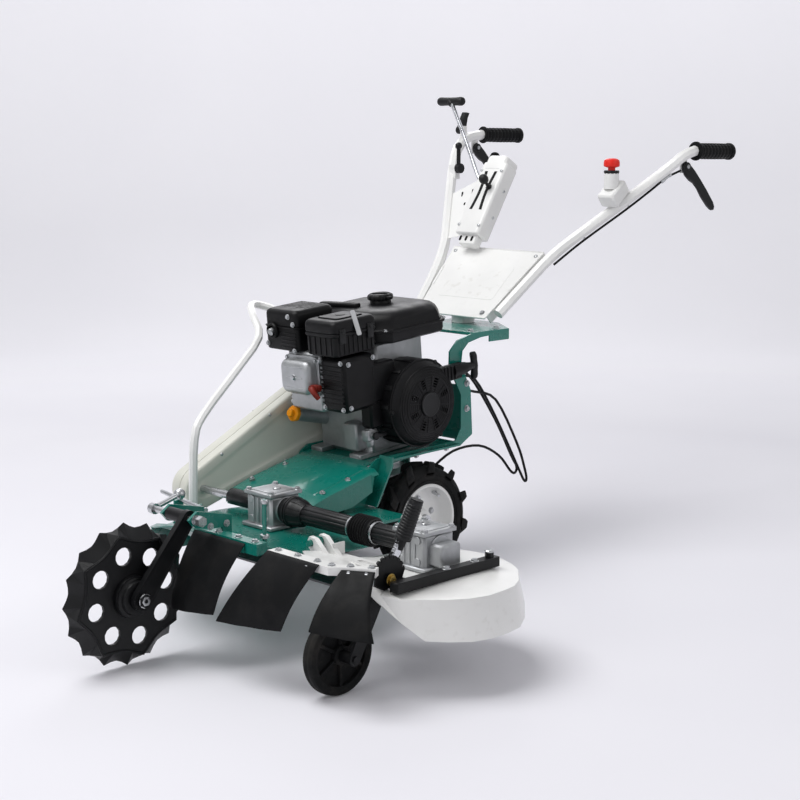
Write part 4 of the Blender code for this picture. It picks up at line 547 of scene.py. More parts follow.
# engine
def make_engine():
    s = Shape(EM)
    for r in (0.03, 0.0355, 0.041, 0.0465, 0.052, 0.0575):
        s.turned([(r - 0.0011, 0.1493), (r - 0.0009, 0.1507), (r + 0.0009, 0.1507), (r + 0.0011, 0.1493)],
                ORIGIN, X, 64, loop=True)
    for r, x in mm((64, 149.6), (69, 147.5), (74, 145.5), (78.5, 143.7)):
        s.turned([(r - 0.0011, x - 0.0012), (r - 0.0007, x + 0.0008), (r + 0.0009, x + 0.0004),
                (r + 0.0012, x - 0.002)], ORIGIN, X, 64, loop=True)
    for a in around(16, 0.5):
        turn = Matrix.Rotation(a, 4, "X")
        s.rings([[turn @ Vector((x, w, r)) for x, w in ((0.149, -0.0013), (0.1512, -0.0008),
                (0.1512, 0.0008), (0.149, 0.0013))] for r in (0.0275, 0.06)])
    s.make("starter_grille", "engine_black", "chassis")
    s = Shape(EM)
    s.turned(mm((26.2, 150), (26.2, 153), (25.5, 154), (23.5, 154.3), (22.5, 153.5), (21.5, 153.4)),
            ORIGIN, X, 48)
    for i in range(3):
        a = 2 * math.pi * i / 3 + 0.5
        s.bolt((0.129, 0.0895 * math.sin(a), 0.0895 * math.cos(a)), X, 0.0085, 0.0045)
    s.make("starter_badge_plate", "black_plastic", "chassis")
    s = Shape(EM)
    for i in range(5):
        s.box((0.003, 0.0042, 0.03), (0.1436, 0.048 + 0.01 * i, 0.0503), None, 0.0008)
    s.turned(mm((12.8, 86), (13.4, 89), (13.4, 118), (12.2, 126.2), (7, 126.6)), (0.1356, 0, 0.052), Y, 32)
    s.make("rope_guide_ribs", "engine_black", "chassis")
    s = Shape(EM)
    rows = []
    for k in range(17):
        t = -1 + 2 * k / 16
        z = 0.052 + 0.029 * t
        wide = 0.0078 + 0.0006 * math.cos(t * 9.0) - 0.003 * max(0.0, abs(t) - 0.86) / 0.14
        deep = 0.0072 + 0.001 * (1 - t * t)
        mid = 0.1548 - 0.003 * t * t
        rows.append([(0.1356 + wide * math.cos(a), mid + deep * math.sin(a), z) for a in around(20)])
    s.rings(rows)
    s.turned(mm((10.2, 126.8), (10.4, 131), (8.5, 143), (7.8, 150)), (0.1356, 0, 0.052), Y, 28)
    s.tube([(0.1356, 0.083, 0.052), (0.1356, 0.13, 0.052)], 0.0026, 12)
    s.make("starter_handle", "black_plastic", "starter_grip", 36, ("recoil_grip",))
    make_tank()
    make_exhaust_and_filter()
    make_engine_small()


def make_tank():
    s = Shape(EM)
    place = Matrix.Translation((-0.012, 0.027, 0))
    def eight(w, d, c, z):
        pts = []
        for x, y, a, b in ((w, d, c, 0), (-w, d, 0, c), (-w, -d, c, 0), (w, -d, 0, c)):
            if a:
                first, second = (x, y - math.copysign(c, y)), (x - math.copysign(c, x), y)
            else:
                first, second = (x - math.copysign(c, x), y), (x, y - math.copysign(c, y))
            for k in range(5):
                t = k / 4
                corner = Vector((x, y)) * 0.18 + (Vector(first) * 0.5 + Vector(second) * 0.5) * 0.82
                p = Vector(first) * (1 - t) ** 2 + corner * 2 * t * (1 - t) + Vector(second) * t * t
                pts.append(place @ Vector((p.x, p.y, z)))
        return pts
    levels = mm((96, 84, 20, 130), (106, 94, 24, 131), (111.5, 98.5, 26, 134.5), (113, 100, 27, 140),
            (113, 100, 27, 153), (116.5, 104, 29, 153.8), (117.4, 104.9, 30, 155),
            (117.4, 104.9, 30, 157.8), (116.5, 104, 29, 159), (112.5, 99.2, 29, 159.6),
            (111, 97.8, 30, 162.5), (110, 96.5, 33, 176), (107.5, 94, 35, 185), (101.5, 88, 37, 191.5),
            (92, 79, 37, 195), (78, 66, 34, 196.4), (60, 50, 27, 196.6))
    s.rings([eight(*level) for level in levels])
    for i in range(7):
        s.box((0.006, 0.202, 0.0165), (-0.096 + 0.028 * i, 0.027, 0.144), None, 0.0012)
    s.turned(mm((22.5, 195), (22.5, 202), (21.5, 203.8), (18, 204)), (-0.01, 0.03, 0), Z, 36)
    bar = Matrix.Translation((-0.062, -0.04, 0.1995)) @ spin(12, "Z")
    s.box((0.098, 0.0175, 0.0105), (-0.062, -0.04, 0.1995), spin(12, "Z"), 0.0032, 3)
    s.box((0.07, 0.01, 0.002), bar @ Vector((0, 0, 0.0048)), spin(12, "Z"), 0.0008)
    s.make("tank_shell", "engine_black", "chassis", 30, ("fuel_tank",))
    s = Shape(EM)
    for x in (-0.118, 0.094):
        for y in (-0.06, 0.112):
            s.bolt((x, y, 0.159), Z, 0.0085, 0.004)
    s.make("tank_bolts", "steel", "chassis")
    s = Shape(EM)
    rows = []
    for radius, z, wave in ((0.0165, 0.1905, 0), (0.0168, 0.2042, 0), (0.0262, 0.2045, 0),
            (0.0268, 0.2055, 0.03), (0.0268, 0.211, 0.035), (0.0258, 0.214, 0.03), (0.0225, 0.2162, 0.01),
            (0.0205, 0.2166, 0), (0.02, 0.2152, 0), (0.008, 0.2156, 0)):
        rows.append([(-0.01 + radius * (1 + wave * math.cos(14 * a)) * math.cos(a),
                0.03 + radius * (1 + wave * math.cos(14 * a)) * math.sin(a), z) for a in around(84)])
    s.rings(rows)
    for a in (0.0, math.pi):
        s.box((0.0085, 0.0145, 0.007), (-0.01 + 0.0275 * math.cos(a), 0.03 + 0.0275 * math.sin(a), 0.2087),
                None, 0.002, 3)
    s.box((0.034, 0.006, 0.003), (-0.01, 0.03, 0.2166), Matrix.Rotation(0.5, 4, "Z"), 0.0012)
    s.make("fuel_cap_lobed", "engine_black", "cap", 40, ("fuel_cap",))


def soft_box(s, size, centre, radius, top=0.5, steps=4):
    """A box with big rounded corners and a rounded lid, as moulded covers have."""
    w, d, h = size
    place = Matrix.Translation(Vector(centre))
    rows = []
    for k in range(steps + 1):
        a = math.radians(90 * k / steps)
        inset = radius * 0.35 * (1 - math.sin(a))
        rows.append((inset, -h / 2 + radius * 0.35 * (1 - math.cos(a))))
    for k in range(steps + 1):
        a = math.radians(90 * k / steps)
        inset = radius * top * (1 - math.cos(a))
        rows.append((inset, h / 2 - radius * top * (1 - math.sin(a))))
    s.rings([[place @ Vector((x, y, z)) for x, y in round_outline(w - 2 * i, d - 2 * i,
            max(radius - i * 0.5, 0.002))] for i, z in rows])


def make_exhaust_and_filter():
    s = Shape(EM)
    soft_box(s, (0.102, 0.108, 0.05), (-0.076, -0.142, 0.153), 0.012, 0.15)
    soft_box(s, (0.106, 0.112, 0.004), (-0.076, -0.142, 0.1762), 0.013, 0.1)
    soft_box(s, (0.1015, 0.1075, 0.037), (-0.076, -0.142, 0.1945), 0.014, 0.8, 6)
    for i in range(7):
        s.box((0.0036, 0.06, 0.002), (-0.112 + 0.012 * i, -0.13, 0.2126), None, 0.0008)
    for i in range(5):
        s.box((0.046, 0.0016, 0.0028), (-0.052, -0.1962, 0.136 + 0.0075 * i), None, 0.0006)
    s.turned(mm((16.5, 190), (16.5, 200.5), (15, 203), (12, 203.4), (11.2, 202.2), (11.2, 196)),
            (-0.098, 0, 0.168), (0, -1, 0), 36)
    s.make("muffler_shell", "muffler_black", "chassis", 30, ("muffler",))
    s = Shape(EM)
    out = curved(mm((-98, -190, 168), (-98, -201.5, 167.5), (-97.5, -207, 165.5)), 5)
    s.tube(out, 0.0072, 18)
    for x, z in mm((-50, 200), (-36, 185), (-118, 140), (-36, 130)):
        s.bolt((x, -0.196, z), (0, -1, 0), 0.0085, 0.004)
    s.make("muffler_outlet", "cast", "chassis")
    s = Shape(EM)
    soft_box(s, (0.09, 0.112, 0.046), (0.048, -0.142, 0.151), 0.01, 0.1)
    soft_box(s, (0.0955, 0.1175, 0.008), (0.048, -0.142, 0.1715), 0.011, 0.15)
    soft_box(s, (0.0955, 0.1175, 0.026), (0.048, -0.142, 0.188), 0.012, 0.9, 6)
    soft_box(s, (0.062, 0.074, 0.004), (0.048, -0.14, 0.2018), 0.008, 0.4)
    for i in range(8):
        s.box((0.0935, 0.003, 0.036), (0.048, -0.186 + 0.0125 * i, 0.1495), None, 0.001)
    for i in range(5):
        s.box((0.003, 0.1155, 0.036), (0.016 + 0.016 * i, -0.142, 0.1495), None, 0.001)
    s.make("filter_housing", "engine_black", "chassis", 30, ("air_cleaner",))
    s = Shape(EM)
    for y in (-0.18, -0.104):
        s.box((0.0026, 0.016, 0.03), (0.0968, y, 0.17), None, 0.001)
        s.turned(mm((4.5, 0), (4.5, 2.5), (3, 3.5)), (0.0968, y, 0.18), X, 16)
    s.turned(mm((10, 203), (10, 204.6), (8.5, 205.2), (4, 205.2)), (0.048, -0.14, 0), Z, 28, wave=0.06,
            waves=8)
    s.make("filter_clips", "black_plastic", "chassis")
    s = Shape(EM)
    plate = Matrix.Translation((0.0967, -0.142, 0.1915)) @ turn_to((1, 0, 0.35)) @ spin(90, "Z")
    s.slab(round_outline(0.052, 0.012, 0.003), 0.0012, plate, 0.0004)
    s.make("filter_plate_bare", "label", "chassis")


def make_engine_small():
    s = Shape(EM @ Matrix.Translation((-0.022, -0.1885, 0.08)) @ spin(90, "X"))
    soft_box(s, (0.102, 0.084, 0.006), ORIGIN, 0.014, 0.1)
    s.make("rocker_flange", "cast", "chassis", 30, ("cylinder_head_cover",))
    s = Shape(EM @ Matrix.Translation((-0.022, -0.2035, 0.08)) @ spin(90, "X"))
    soft_box(s, (0.088, 0.07, 0.027), ORIGIN, 0.016, 0.75, 6)
    for y in (-0.022, 0, 0.022):
        s.box((0.052, 0.004, 0.0028), (0, y, 0.0131), None, 0.001)
    s.make("rocker_dome", "cast", "chassis", 30)
    s = Shape(EM)
    for x, z in mm((-66, 45), (22, 45), (-66, 115), (22, 115)):
        s.bolt((x, -0.1912, z), (0, -1, 0), 0.008, 0.0045)
    s.bolt((-0.022, -0.2168, 0.08), (0, -1, 0), 0.0105, 0.0045)
    for x, y, z in mm((33, -190, 116), (95, -190, 116), (95, -190, 20), (40, -190, 20)):
        s.bolt((x, y, z), (0, -1, 0), 0.008, 0.004)
    for y, z in mm((-176, 112), (-176, 22), (-108, 115)):
        s.bolt((0.102, y, z), X, 0.008, 0.004)
    s.make("engine_bolts", "steel", "chassis")
    s = Shape(EM)
    boot = curved(mm((27, -192.5, 58), (31, -208, 61), (35, -218, 62.5), (42, -219.5, 55), (47, -213, 43)),
            5)
    s.tube(boot, [0.0075 - 0.0025 * i / (len(boot) - 1) for i in range(len(boot))], 18)
    for k in (0.15, 0.3, 0.45):
        i = int(k * (len(boot) - 1))
        ahead = (boot[i + 1] - boot[i]).normalized()
        s.turned(mm((6.8, -1.2), (8.6, -0.6), (8.6, 0.6), (6.8, 1.2)), boot[i], ahead, 20, loop=True)
    s.make("spark_plug_boot", "plug_red", "chassis")
    s = Shape(EM)
    for i in range(9):
        s.box((0.066, 0.0022, 0.0036), (0.0667, -0.1905, 0.03 + 0.0095 * i), None, 0.0007)
    s.make("cowl_louvres", "engine_black", "chassis")
    s = Shape(EM)
    for i in range(6):
        a = math.radians(100 + 25 * i)
        s.box((0.05, 0.01, 0.003), (0.098, 0.0925 * math.cos(a) * 0.995, 0.0925 * math.sin(a) * 0.995),
                Matrix.Rotation(a - math.pi / 2, 4, "X"), 0.0012)
    s.turned(mm((91.5, 126.2), (93, 126.6), (93.4, 127.8), (92.6, 128.8), (90.5, 128.8)), ORIGIN, X, 80,
            loop=True)
    s.make("fan_housing_ribs", "engine_black", "chassis")
    s = Shape(EM)
    start = Vector((-0.076, -0.1723, -0.0119))
    out = Vector((0, -0.092, 0.028)).normalized()
    s.turned(mm((15, 0.4), (16.8, 1.2), (17.2, 6), (16, 9.2), (10, 10), (8.5, 10.4), (8.2, 18.5),
            (7, 19.8), (3, 19.9)), start, out, 42, wave=0.03, waves=7)
    s.make("oil_cap_knurled", "amber", "chassis", 36, ("oil_filler_cap",))
    s = Shape(EM)
    body = (0.082, -0.112, -0.0494)
    s.box((0.019, 0.03, 0.026), body, None, 0.004, 3)
    s.turned(mm((10, -64), (10, -60), (8.8, -59), (8.8, -36), (10, -35)), (0.082, -0.112, 0), Z, 24)
    s.turned(mm((7.5, -74), (9, -71), (9, -64), (6, -63)), (0.082, -0.112, 0), Z, 24)
    s.turned(mm((4.2, -85), (4.6, -84), (4, -82), (4, -72)), (0.082, -0.112, 0), (0, 0, 1), 20)
    s.turned(mm((8, 88), (8, 97.5), (7, 98)), (0, -0.112, -0.05), X, 28)
    s.make("fuel_cock_body", "cast", "chassis", 34, ("fuel_cock",))
    s = Shape(EM)
    s.turned(mm((8, 98.4), (8, 103), (6.6, 104), (3, 104)), (0, -0.112, -0.05), X, 28)
    s.box((0.005, 0.033, 0.0085), (0.1011, -0.097, -0.05), None, 0.0018, 3)
    s.make("fuel_cock_handle", "black_plastic", "cock_lever", 34, ("fuel_cock_lever",))
    s = Shape(EM)
    for i in range(9):
        s.box((0.104, 0.092, 0.0022), (-0.022, -0.138, 0.015 + 0.0115 * i), None, 0.0006)
    s.make("cylinder_fins", "cast", "chassis")


# belt cover, decks and drive
def make_belt_cover():
    engine, deck = (CRANK_Y, CRANK_Z), (SPINDLE_Y, SHAFT_Z)
    s = Shape()
    section = mm((-106.2, -33), (-106, -25), (-104.6, -22.2), (-104.1, -20), (-104, -12), (-104.2, -6),
            (-105, -2.6), (-106.8, -0.8), (-109.2, 0), (-126.2, 0), (-126.8, -0.3), (-127.2, -1.6),
            (-128.4, -1.6), (-128.8, -0.3), (-129.4, 0), (-148, 0), (-153, -0.6), (-156, -2.4),
            (-157.4, -5.2), (-157.6, -15), (-158.2, -17.5), (-159.4, -19), (-160, -21.5), (-160, -33))
    rows = [[Vector((x, y, z)) for y, z in belt_outline(engine, 0.08 + d, deck, 0.043 + d)] for x,
            d in section]
    s.rings(rows)
    for y, z in mm((52, 304), (88, 376)):
        s.tube([(-0.112, y, z), (-0.0955, y, z)], 0.006, 16)
    s.make("belt_casing", "cream", "chassis", 40, ("belt_cover",))
    s = Shape()
    along = (Vector(deck) - Vector(engine)).normalized()
    up = Vector((-along.y, along.x))
    for t, off in ((0.16, 0.0705), (0.16, -0.0705), (0.5, 0.0555), (0.5, -0.0555), (0.84, 0.042),
            (0.84, -0.042)):
        p = Vector(engine).lerp(Vector(deck), t) + up * off
        s.screw((-0.1041, p.x, p.y), X, 0.0075)
        s.screw((-0.1576, p.x, p.y), (-1, 0, 0), 0.0075)
    s.make("belt_casing_screws", "steel", "chassis")


def make_gearbox_details(name, x, body, plug):
    s = Shape()
    y, z = SPINDLE_Y, SHAFT_Z
    half = 0.037
    for side in (-1, 1):
        s.turned([(0.0255, half - 0.001), (0.0255, half + 0.0022), (0.024, half + 0.0034),
                (0.015, half + 0.0036), (0.014, half + 0.0028), (0.011, half + 0.0028)], (x, y, z),
                (side, 0, 0), 40)
    for dx, dz in ((-0.02, -0.02), (0.02, -0.02), (-0.02, 0.018), (0.02, 0.018)):
        s.turned([(0.0075, half - 0.001), (0.0075, half + 0.0016), (0.0065, half + 0.0024)],
                (x + dx, y, z + dz), (0, -1, 0), 20)
    for k in (-1, 0, 1):
        s.box((0.004, 0.002, 0.05), (x + 0.013 * k, y - half - 0.0008, 0.2115), None, 0.0008)
    s.box((0.06, 0.06, 0.0016), (x, y, 0.2474), None, 0.0007)
    s.make(name + "_casting", "cast", body)
    s = Shape()
    for dx in (-1, 1):
        for dy in (-1, 1):
            s.bolt((x + dx * 0.033, y + dy * 0.033, 0.247), Z, 0.0105, 0.0048)
    s.turned(mm((8, 247.8), (8, 250), (7, 251.2), (3.5, 251.2), (3, 250)), (x + plug[0], y + plug[1], 0),
            Z, 24)
    for dz in (-0.024, 0.024):
        for dy in (-0.024, 0.024):
            s.bolt((x - half - 0.0004, y + dy, z + dz * 0.9), (-1, 0, 0), 0.007, 0.0032, False)
    s.make(name + "_bolts", "steel", body)


def make_drive_line():
    make_gearbox_details("centre_gearbox", MAIN_X, "chassis", (0.006, 0.004))
    make_gearbox_details("wing_gearbox", WING_X, "wing", (-0.006, 0.008))
    s = Shape()
    start = 0.152
    bell = mm((15.2, 0.4), (23.8, 0.4), (24.6, 4), (24, 9.5), (24.3, 17.5), (29.6, 18.8), (30, 20),
            (30, 22.5), (28.4, 23.2), (28.4, 25.2), (30, 26), (30, 28.5), (27.8, 29.8), (26.8, 32),
            (26.4, 42), (25.2, 48), (23.5, 54), (20.5, 60), (20, 62.2), (15.2, 62.2))
    s.turned(bell, (start, SPINDLE_Y, SHAFT_Z), X, 60, loop=True)
    for a in around(12):
        turn = Matrix.Translation((0, SPINDLE_Y, SHAFT_Z)) @ Matrix.Rotation(a, 4, "X")
        s.rings([[turn @ Vector((start + x, w, r)) for w in (-0.0011,
                0.0011)] + [turn @ Vector((start + x, 0.0008, r + up)),
                turn @ Vector((start + x, -0.0008, r + up))] for x, r,
                up in ((0.0305, 0.0255, 0.003), (0.042, 0.0255, 0.0022), (0.052, 0.0232, 0.0022),
                (0.059, 0.02, 0.0018))])
    s.make("guard_bell", "black_plastic", "chassis", 36, ("shaft_guard_inner",))
    for name, first, last, body, node in (("guard_tube_inner", 0.21, 0.3475, "chassis", ()),
            ("guard_tube_outer", 0.402, 0.4878, "wing", ("shaft_guard_outer",))):
        s = Shape()
        count = 96
        def ring(x, shift, lobes=True):
            out = []
            for a in around(count):
                r = 0.0182 + 0.0014 * abs(math.cos(6 * a)) ** 0.35 + shift if lobes else 0.0152
                out.append(Vector((x, SPINDLE_Y + r * math.cos(a), SHAFT_Z + r * math.sin(a))))
            return out
        s.rings([ring(first, 0, False), ring(first, -0.0008), ring(first + 0.001, 0),
                ring(last - 0.001, 0), ring(last, -0.0008), ring(last, 0, False)], True, False, True)
        s.make(name, "black_plastic", body, 40, node)
    s = Shape()
    half, ribs = 0.0268, 7
    profile = [(0.0186, -half), (0.0236, -half), (0.024, 0.004 - half)]
    for i in range(ribs):
        low = 0.004 - half + (2 * half - 0.008) * i / ribs
        step = (2 * half - 0.008) / ribs
        profile += [(0.0246, low + step * 0.1), (0.0272, low + step * 0.3), (0.0279, low + step * 0.5),
                (0.0272, low + step * 0.7), (0.0246, low + step * 0.9)]
    profile += [(0.024, half - 0.004), (0.0236, half), (0.0186, half)]
    s.turned(profile, (HINGE_X, SPINDLE_Y, SHAFT_Z), X, 56, loop=True)
    boot = s.make("joint_boot", "rubber", None, 50, ("shaft_boot",))
    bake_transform(boot)
    for name, x, body in (("boot_clip_inner", 0.345, "chassis"), ("boot_clip_outer", 0.4045, "wing")):
        s = Shape()
        s.turned(mm((20.5, -3.5), (21.4, -2.8), (21.4, 2.8), (20.5, 3.5)), (x, SPINDLE_Y, SHAFT_Z), X, 48,
                loop=True)
        s.make(name, "steel", body)
    s = Shape()
    s.turned(mm((8.2, -33), (14.8, -33), (16, -31), (16.5, -12), (16, 0), (16.5, 12), (16, 31), (14.8, 33),
            (8.2, 33)), (0.02, SPINDLE_Y, SHAFT_Z), X, 40, loop=True)
    s.make("input_shaft_roller", "black_plastic", "input_shaft")


def make_deck_trim():
    s = Shape()
    for x in (0.205, 0.245, 0.3, 0.345):
        s.bolt((x, -0.6195, 0.2286), Z, 0.0105, 0.0045)
    for y in (-0.6, -0.636):
        s.bolt((0.1568, y, 0.24), (-1, 0, 0), 0.01, 0.0045)
        s.bolt((0.2422, y, 0.24), X, 0.01, 0.0045)
    s.bolt((0.2422, -0.668, 0.257), X, 0.0135, 0.006)
    s.make("deck_bolts", "steel", "chassis")
    s = Shape()
    s.slab(mm((200, -636.5), (334, -636.5), (334, -635), (200, -635)), 0.012,
            Matrix.Translation((0, 0, 0.215)), 0.0003)
    for x in (0.215, 0.24, 0.29, 0.325):
        s.bolt((x, -0.6364, 0.215), (0, -1, 0), 0.0085, 0.0038)
    s.make("flap_clamp_main", "green", "chassis")
    s = Shape()
    for x in (0.4, 0.45, 0.5, 0.535):
        s.bolt((x, -0.613, 0.2226), Z, 0.01, 0.0042)
    for x, y in mm((562, -595.5), (593, -577)):
        s.bolt((x, y, 0.2226), Z, 0.01, 0.0042)
    for x in (0.405, 0.45, 0.495):
        s.bolt((x, -0.6302, 0.215), (0, -1, 0), 0.0085, 0.0038)
    for x, y in mm((570, -607.2), (596, -591.6)):
        s.bolt((x, y, 0.213), (0.51, -0.86, 0), 0.008, 0.0036)
    s.make("wing_bolts", "steel", "wing")
    s = Shape()
    s.turned(mm((4, 290), (6.2, 290.5), (6.8, 293), (6.2, 296.5), (3, 297.8)), (0.338, -0.592, 0), Z, 24)
    s.turned(mm((7.5, 228.5), (8.5, 229.5), (8.5, 235), (6, 236.2)), (0.338, -0.592, 0), Z, 6)
    s.make("stop_pin_trim", "steel", "chassis")
    s = Shape()
    rod = mm((-60, -520, 236), (20, -532, 234), (112, -545, 232))
    s.tube(curved(rod, 5), 0.0042, 14)
    s.make("link_rod", "steel", "chassis")
    s = Shape()
    for x in (0.01, 0.07):
        s.box((0.0045, 0.022, 0.046), (x, -0.533, 0.2105), None, 0.0014)
    s.box((0.07, 0.022, 0.004), (0.04, -0.533, 0.1895), None, 0.0012)
    s.make("link_bracket", "green", "chassis")


def make_guide_arm():
    s = Shape()
    c = DISC_CENTRE
    first, last = Vector((-0.668, 0.257)), Vector((c.y, c.z))
    rows = []
    for x, d in mm((212.2, -4), (212.2, -1.2), (213.4, 0), (223.6, 0), (225, -1.2), (225, -4),
            (223.8, -5.6), (223.8, -6.8)):
        rows.append([Vector((x, y, z)) for y, z in belt_outline(first, 0.0142 + d, last, 0.019 + d)])
    s.rings(rows)
    s.make("guide_arm_forging", "black_metal", "guide_arm", 40)
    s = Shape()
    s.bolt((0.229, c.y, c.z), X, 0.019, 0.0042)
    s.make("guide_arm_nut", "steel", "guide_arm")


def make_height_lever():
    x = 0.58
    low, high = Vector((x + 0.0042, -0.4975, 0.256)), Vector((x + 0.0196, -0.4794, 0.3222))
    along = (high - low)
    length = along.length
    s = Shape()
    profile = mm((10, -1), (14.2, -0.6), (15.2, 1.5), (15, 4))
    count = 11
    for i in range(count):
        a = 0.0055 + (length - 0.014) * i / count
        step = (length - 0.014) / count
        r = 0.0149 - 0.002 * i / count
        profile += [(r - 0.0009, a + step * 0.1), (r, a + step * 0.3), (r, a + step * 0.75),
                (r - 0.0009, a + step * 0.95)]
    profile += [(0.0128, length - 0.006), (0.012, length - 0.002), (0.0095, length + 0.0002),
            (0.003, length + 0.001)]
    s.turned(profile, low, along, 40)
    s.make("height_lever_grip", "black_plastic", "gauge_lever")
    s = Shape()
    foot = Vector((x, -0.535 + 0.006, 0.195 + 0.01))
    head = Vector((x + 0.002, -0.5, 0.25))
    lean = (head - foot).normalized()
    side = Vector((1, 0, 0))
    front = lean.cross(side).normalized()
    rows = []
    for k in range(25):
        t = k / 24
        p = foot.lerp(head, t)
        wide = 0.0085 - (0.0016 if k % 4 == 2 else 0.0)
        thick = 0.0046
        rows.append([p + side * thick + front * wide * 0.8, p + side * thick * 0.6 + front * wide,
                p - side * thick * 0.6 + front * wide, p - side * thick + front * wide * 0.8,
                p - side * thick - front * wide * 0.8, p - side * thick * 0.6 - front * wide,
                p + side * thick * 0.6 - front * wide, p + side * thick - front * wide * 0.8])
    s.rings(rows)
    s.make("height_lever_shank", "chrome", "gauge_lever", 30)
    s = Shape()
    s.bolt((0.5952, -0.535, 0.195), X, 0.015, 0.006)
    s.make("lever_pivot_bolt", "brass", "wing")
    s = Shape()
    s.bolt((0.612, -0.42, 0.194), Z, 0.012, 0.005)
    s.bolt((0.612, -0.35, 0.194), Z, 0.012, 0.005)
    s.turned(mm((8.5, 194), (8.5, 196), (7, 197.5)), (0.612, -0.312, 0.01), Z, 24)
    s.make("wing_bar_bolts", "steel", "wing")
    s = Shape()
    g = GAUGE_CENTRE
    wall = mm((57.5, 11.2), (60, 12.8), (64, 12.8), (67.6, 11.2), (69.4, 7.8), (69.9, 3.5), (69, 1),
            (69, -1), (69.9, -3.5), (69.4, -7.8), (67.6, -11.2), (64, -12.8), (60, -12.8), (57.5, -11.2),
            (54, -10.5), (54, 10.5))
    s.turned(wall, g, X, 64, loop=True)
    s.turned(mm((6.2, -12.8), (15, -12.8), (17, -11.8), (17, 11.8), (15, 12.8), (6.2, 12.8)), g, X, 40,
            loop=True)
    s.turned(mm((16, -2.2), (54.5, -2.2), (54.5, 2.2), (16, 2.2)), g, X, 56, loop=True)
    for a in around(6):
        turn = Matrix.Translation(g) @ Matrix.Rotation(a, 4, "X")
        s.rings([[turn @ Vector((k * 0.0088, w * 0.0028, r)) for k,
                w in ((1, 0.7), (1, -0.7), (0.9, -1), (-0.9, -1), (-1, -0.7), (-1, 0.7), (-0.9, 1),
                (0.9, 1))] for r in (0.0155, 0.0555)])
    s.make("gauge_wheel_moulded", "tyre", "gauge_wheel_set", 36, ("gauge_wheel",))


# frame, handle and controls
def make_frame_details():
    s = Shape()
    for x, y, z in mm((146, -205, 239), (147.5, -275, 224)):
        s.bolt((x - 0.014, y, z + 0.001), (0.15, -0.25, 1), 0.0095, 0.0045)
    for y in (-0.2, -0.29):
        s.bolt((-0.066, y, 0.224 + (y + 0.29) * 0.19 + 0.001), (-0.1, -0.2, 1), 0.0095, 0.0045)
    for y, z in mm((0, 268.5), (90, 271)):
        s.bolt((0.1202, y, z - 0.008), X, 0.011, 0.0055)
    for y, z in mm((153, 340), (153, 395)):
        s.bolt((0.1202, y, z), X, 0.011, 0.0055)
    for x in (-0.075, 0.095):
        for z in (0.295, 0.4):
            s.bolt((x, 0.1522, z), Y, 0.01, 0.005)
    for x, y in mm((-82, 186), (100, 186), (100, 268)):
        s.bolt((x, y, 0.502), Z, 0.012, 0.0055)
    s.make("frame_bolts", "steel", "chassis")
    s = Shape()
    rows = []
    for x, y, step_x, step_y in ((0.1198, 0.225, 0.003, 0.0), (0.1198, 0.2882, 0.003, 0.0012),
            (0.0308, 0.3535, 0.0014, 0.003), (-0.084, 0.3535, 0.0, 0.003)):
        inner = (x - step_x, y - step_y)
        rows.append([(x, y, 0.501), (x, y, 0.48), (x - step_x * 0.3, y - step_y * 0.3, 0.478),
                (*inner, 0.478), (*inner, 0.501)])
    s.rings(rows)
    s.make("head_plate_gusset", "green", "chassis")
    s = Shape()
    rows = []
    for y, z, x in mm((-328, 205.8, 124), (-280, 223.6, 124), (-210, 239.6, 124), (-158, 251.2, 124)):
        rows.append([(x - 0.0045, y, z - 0.0014), (x - 0.0025, y, z + 0.0008), (x + 0.0025, y, z + 0.0008),
                (x + 0.0045, y, z - 0.002)])
    s.rings(rows)
    s.make("hood_pressing", "green", "chassis")


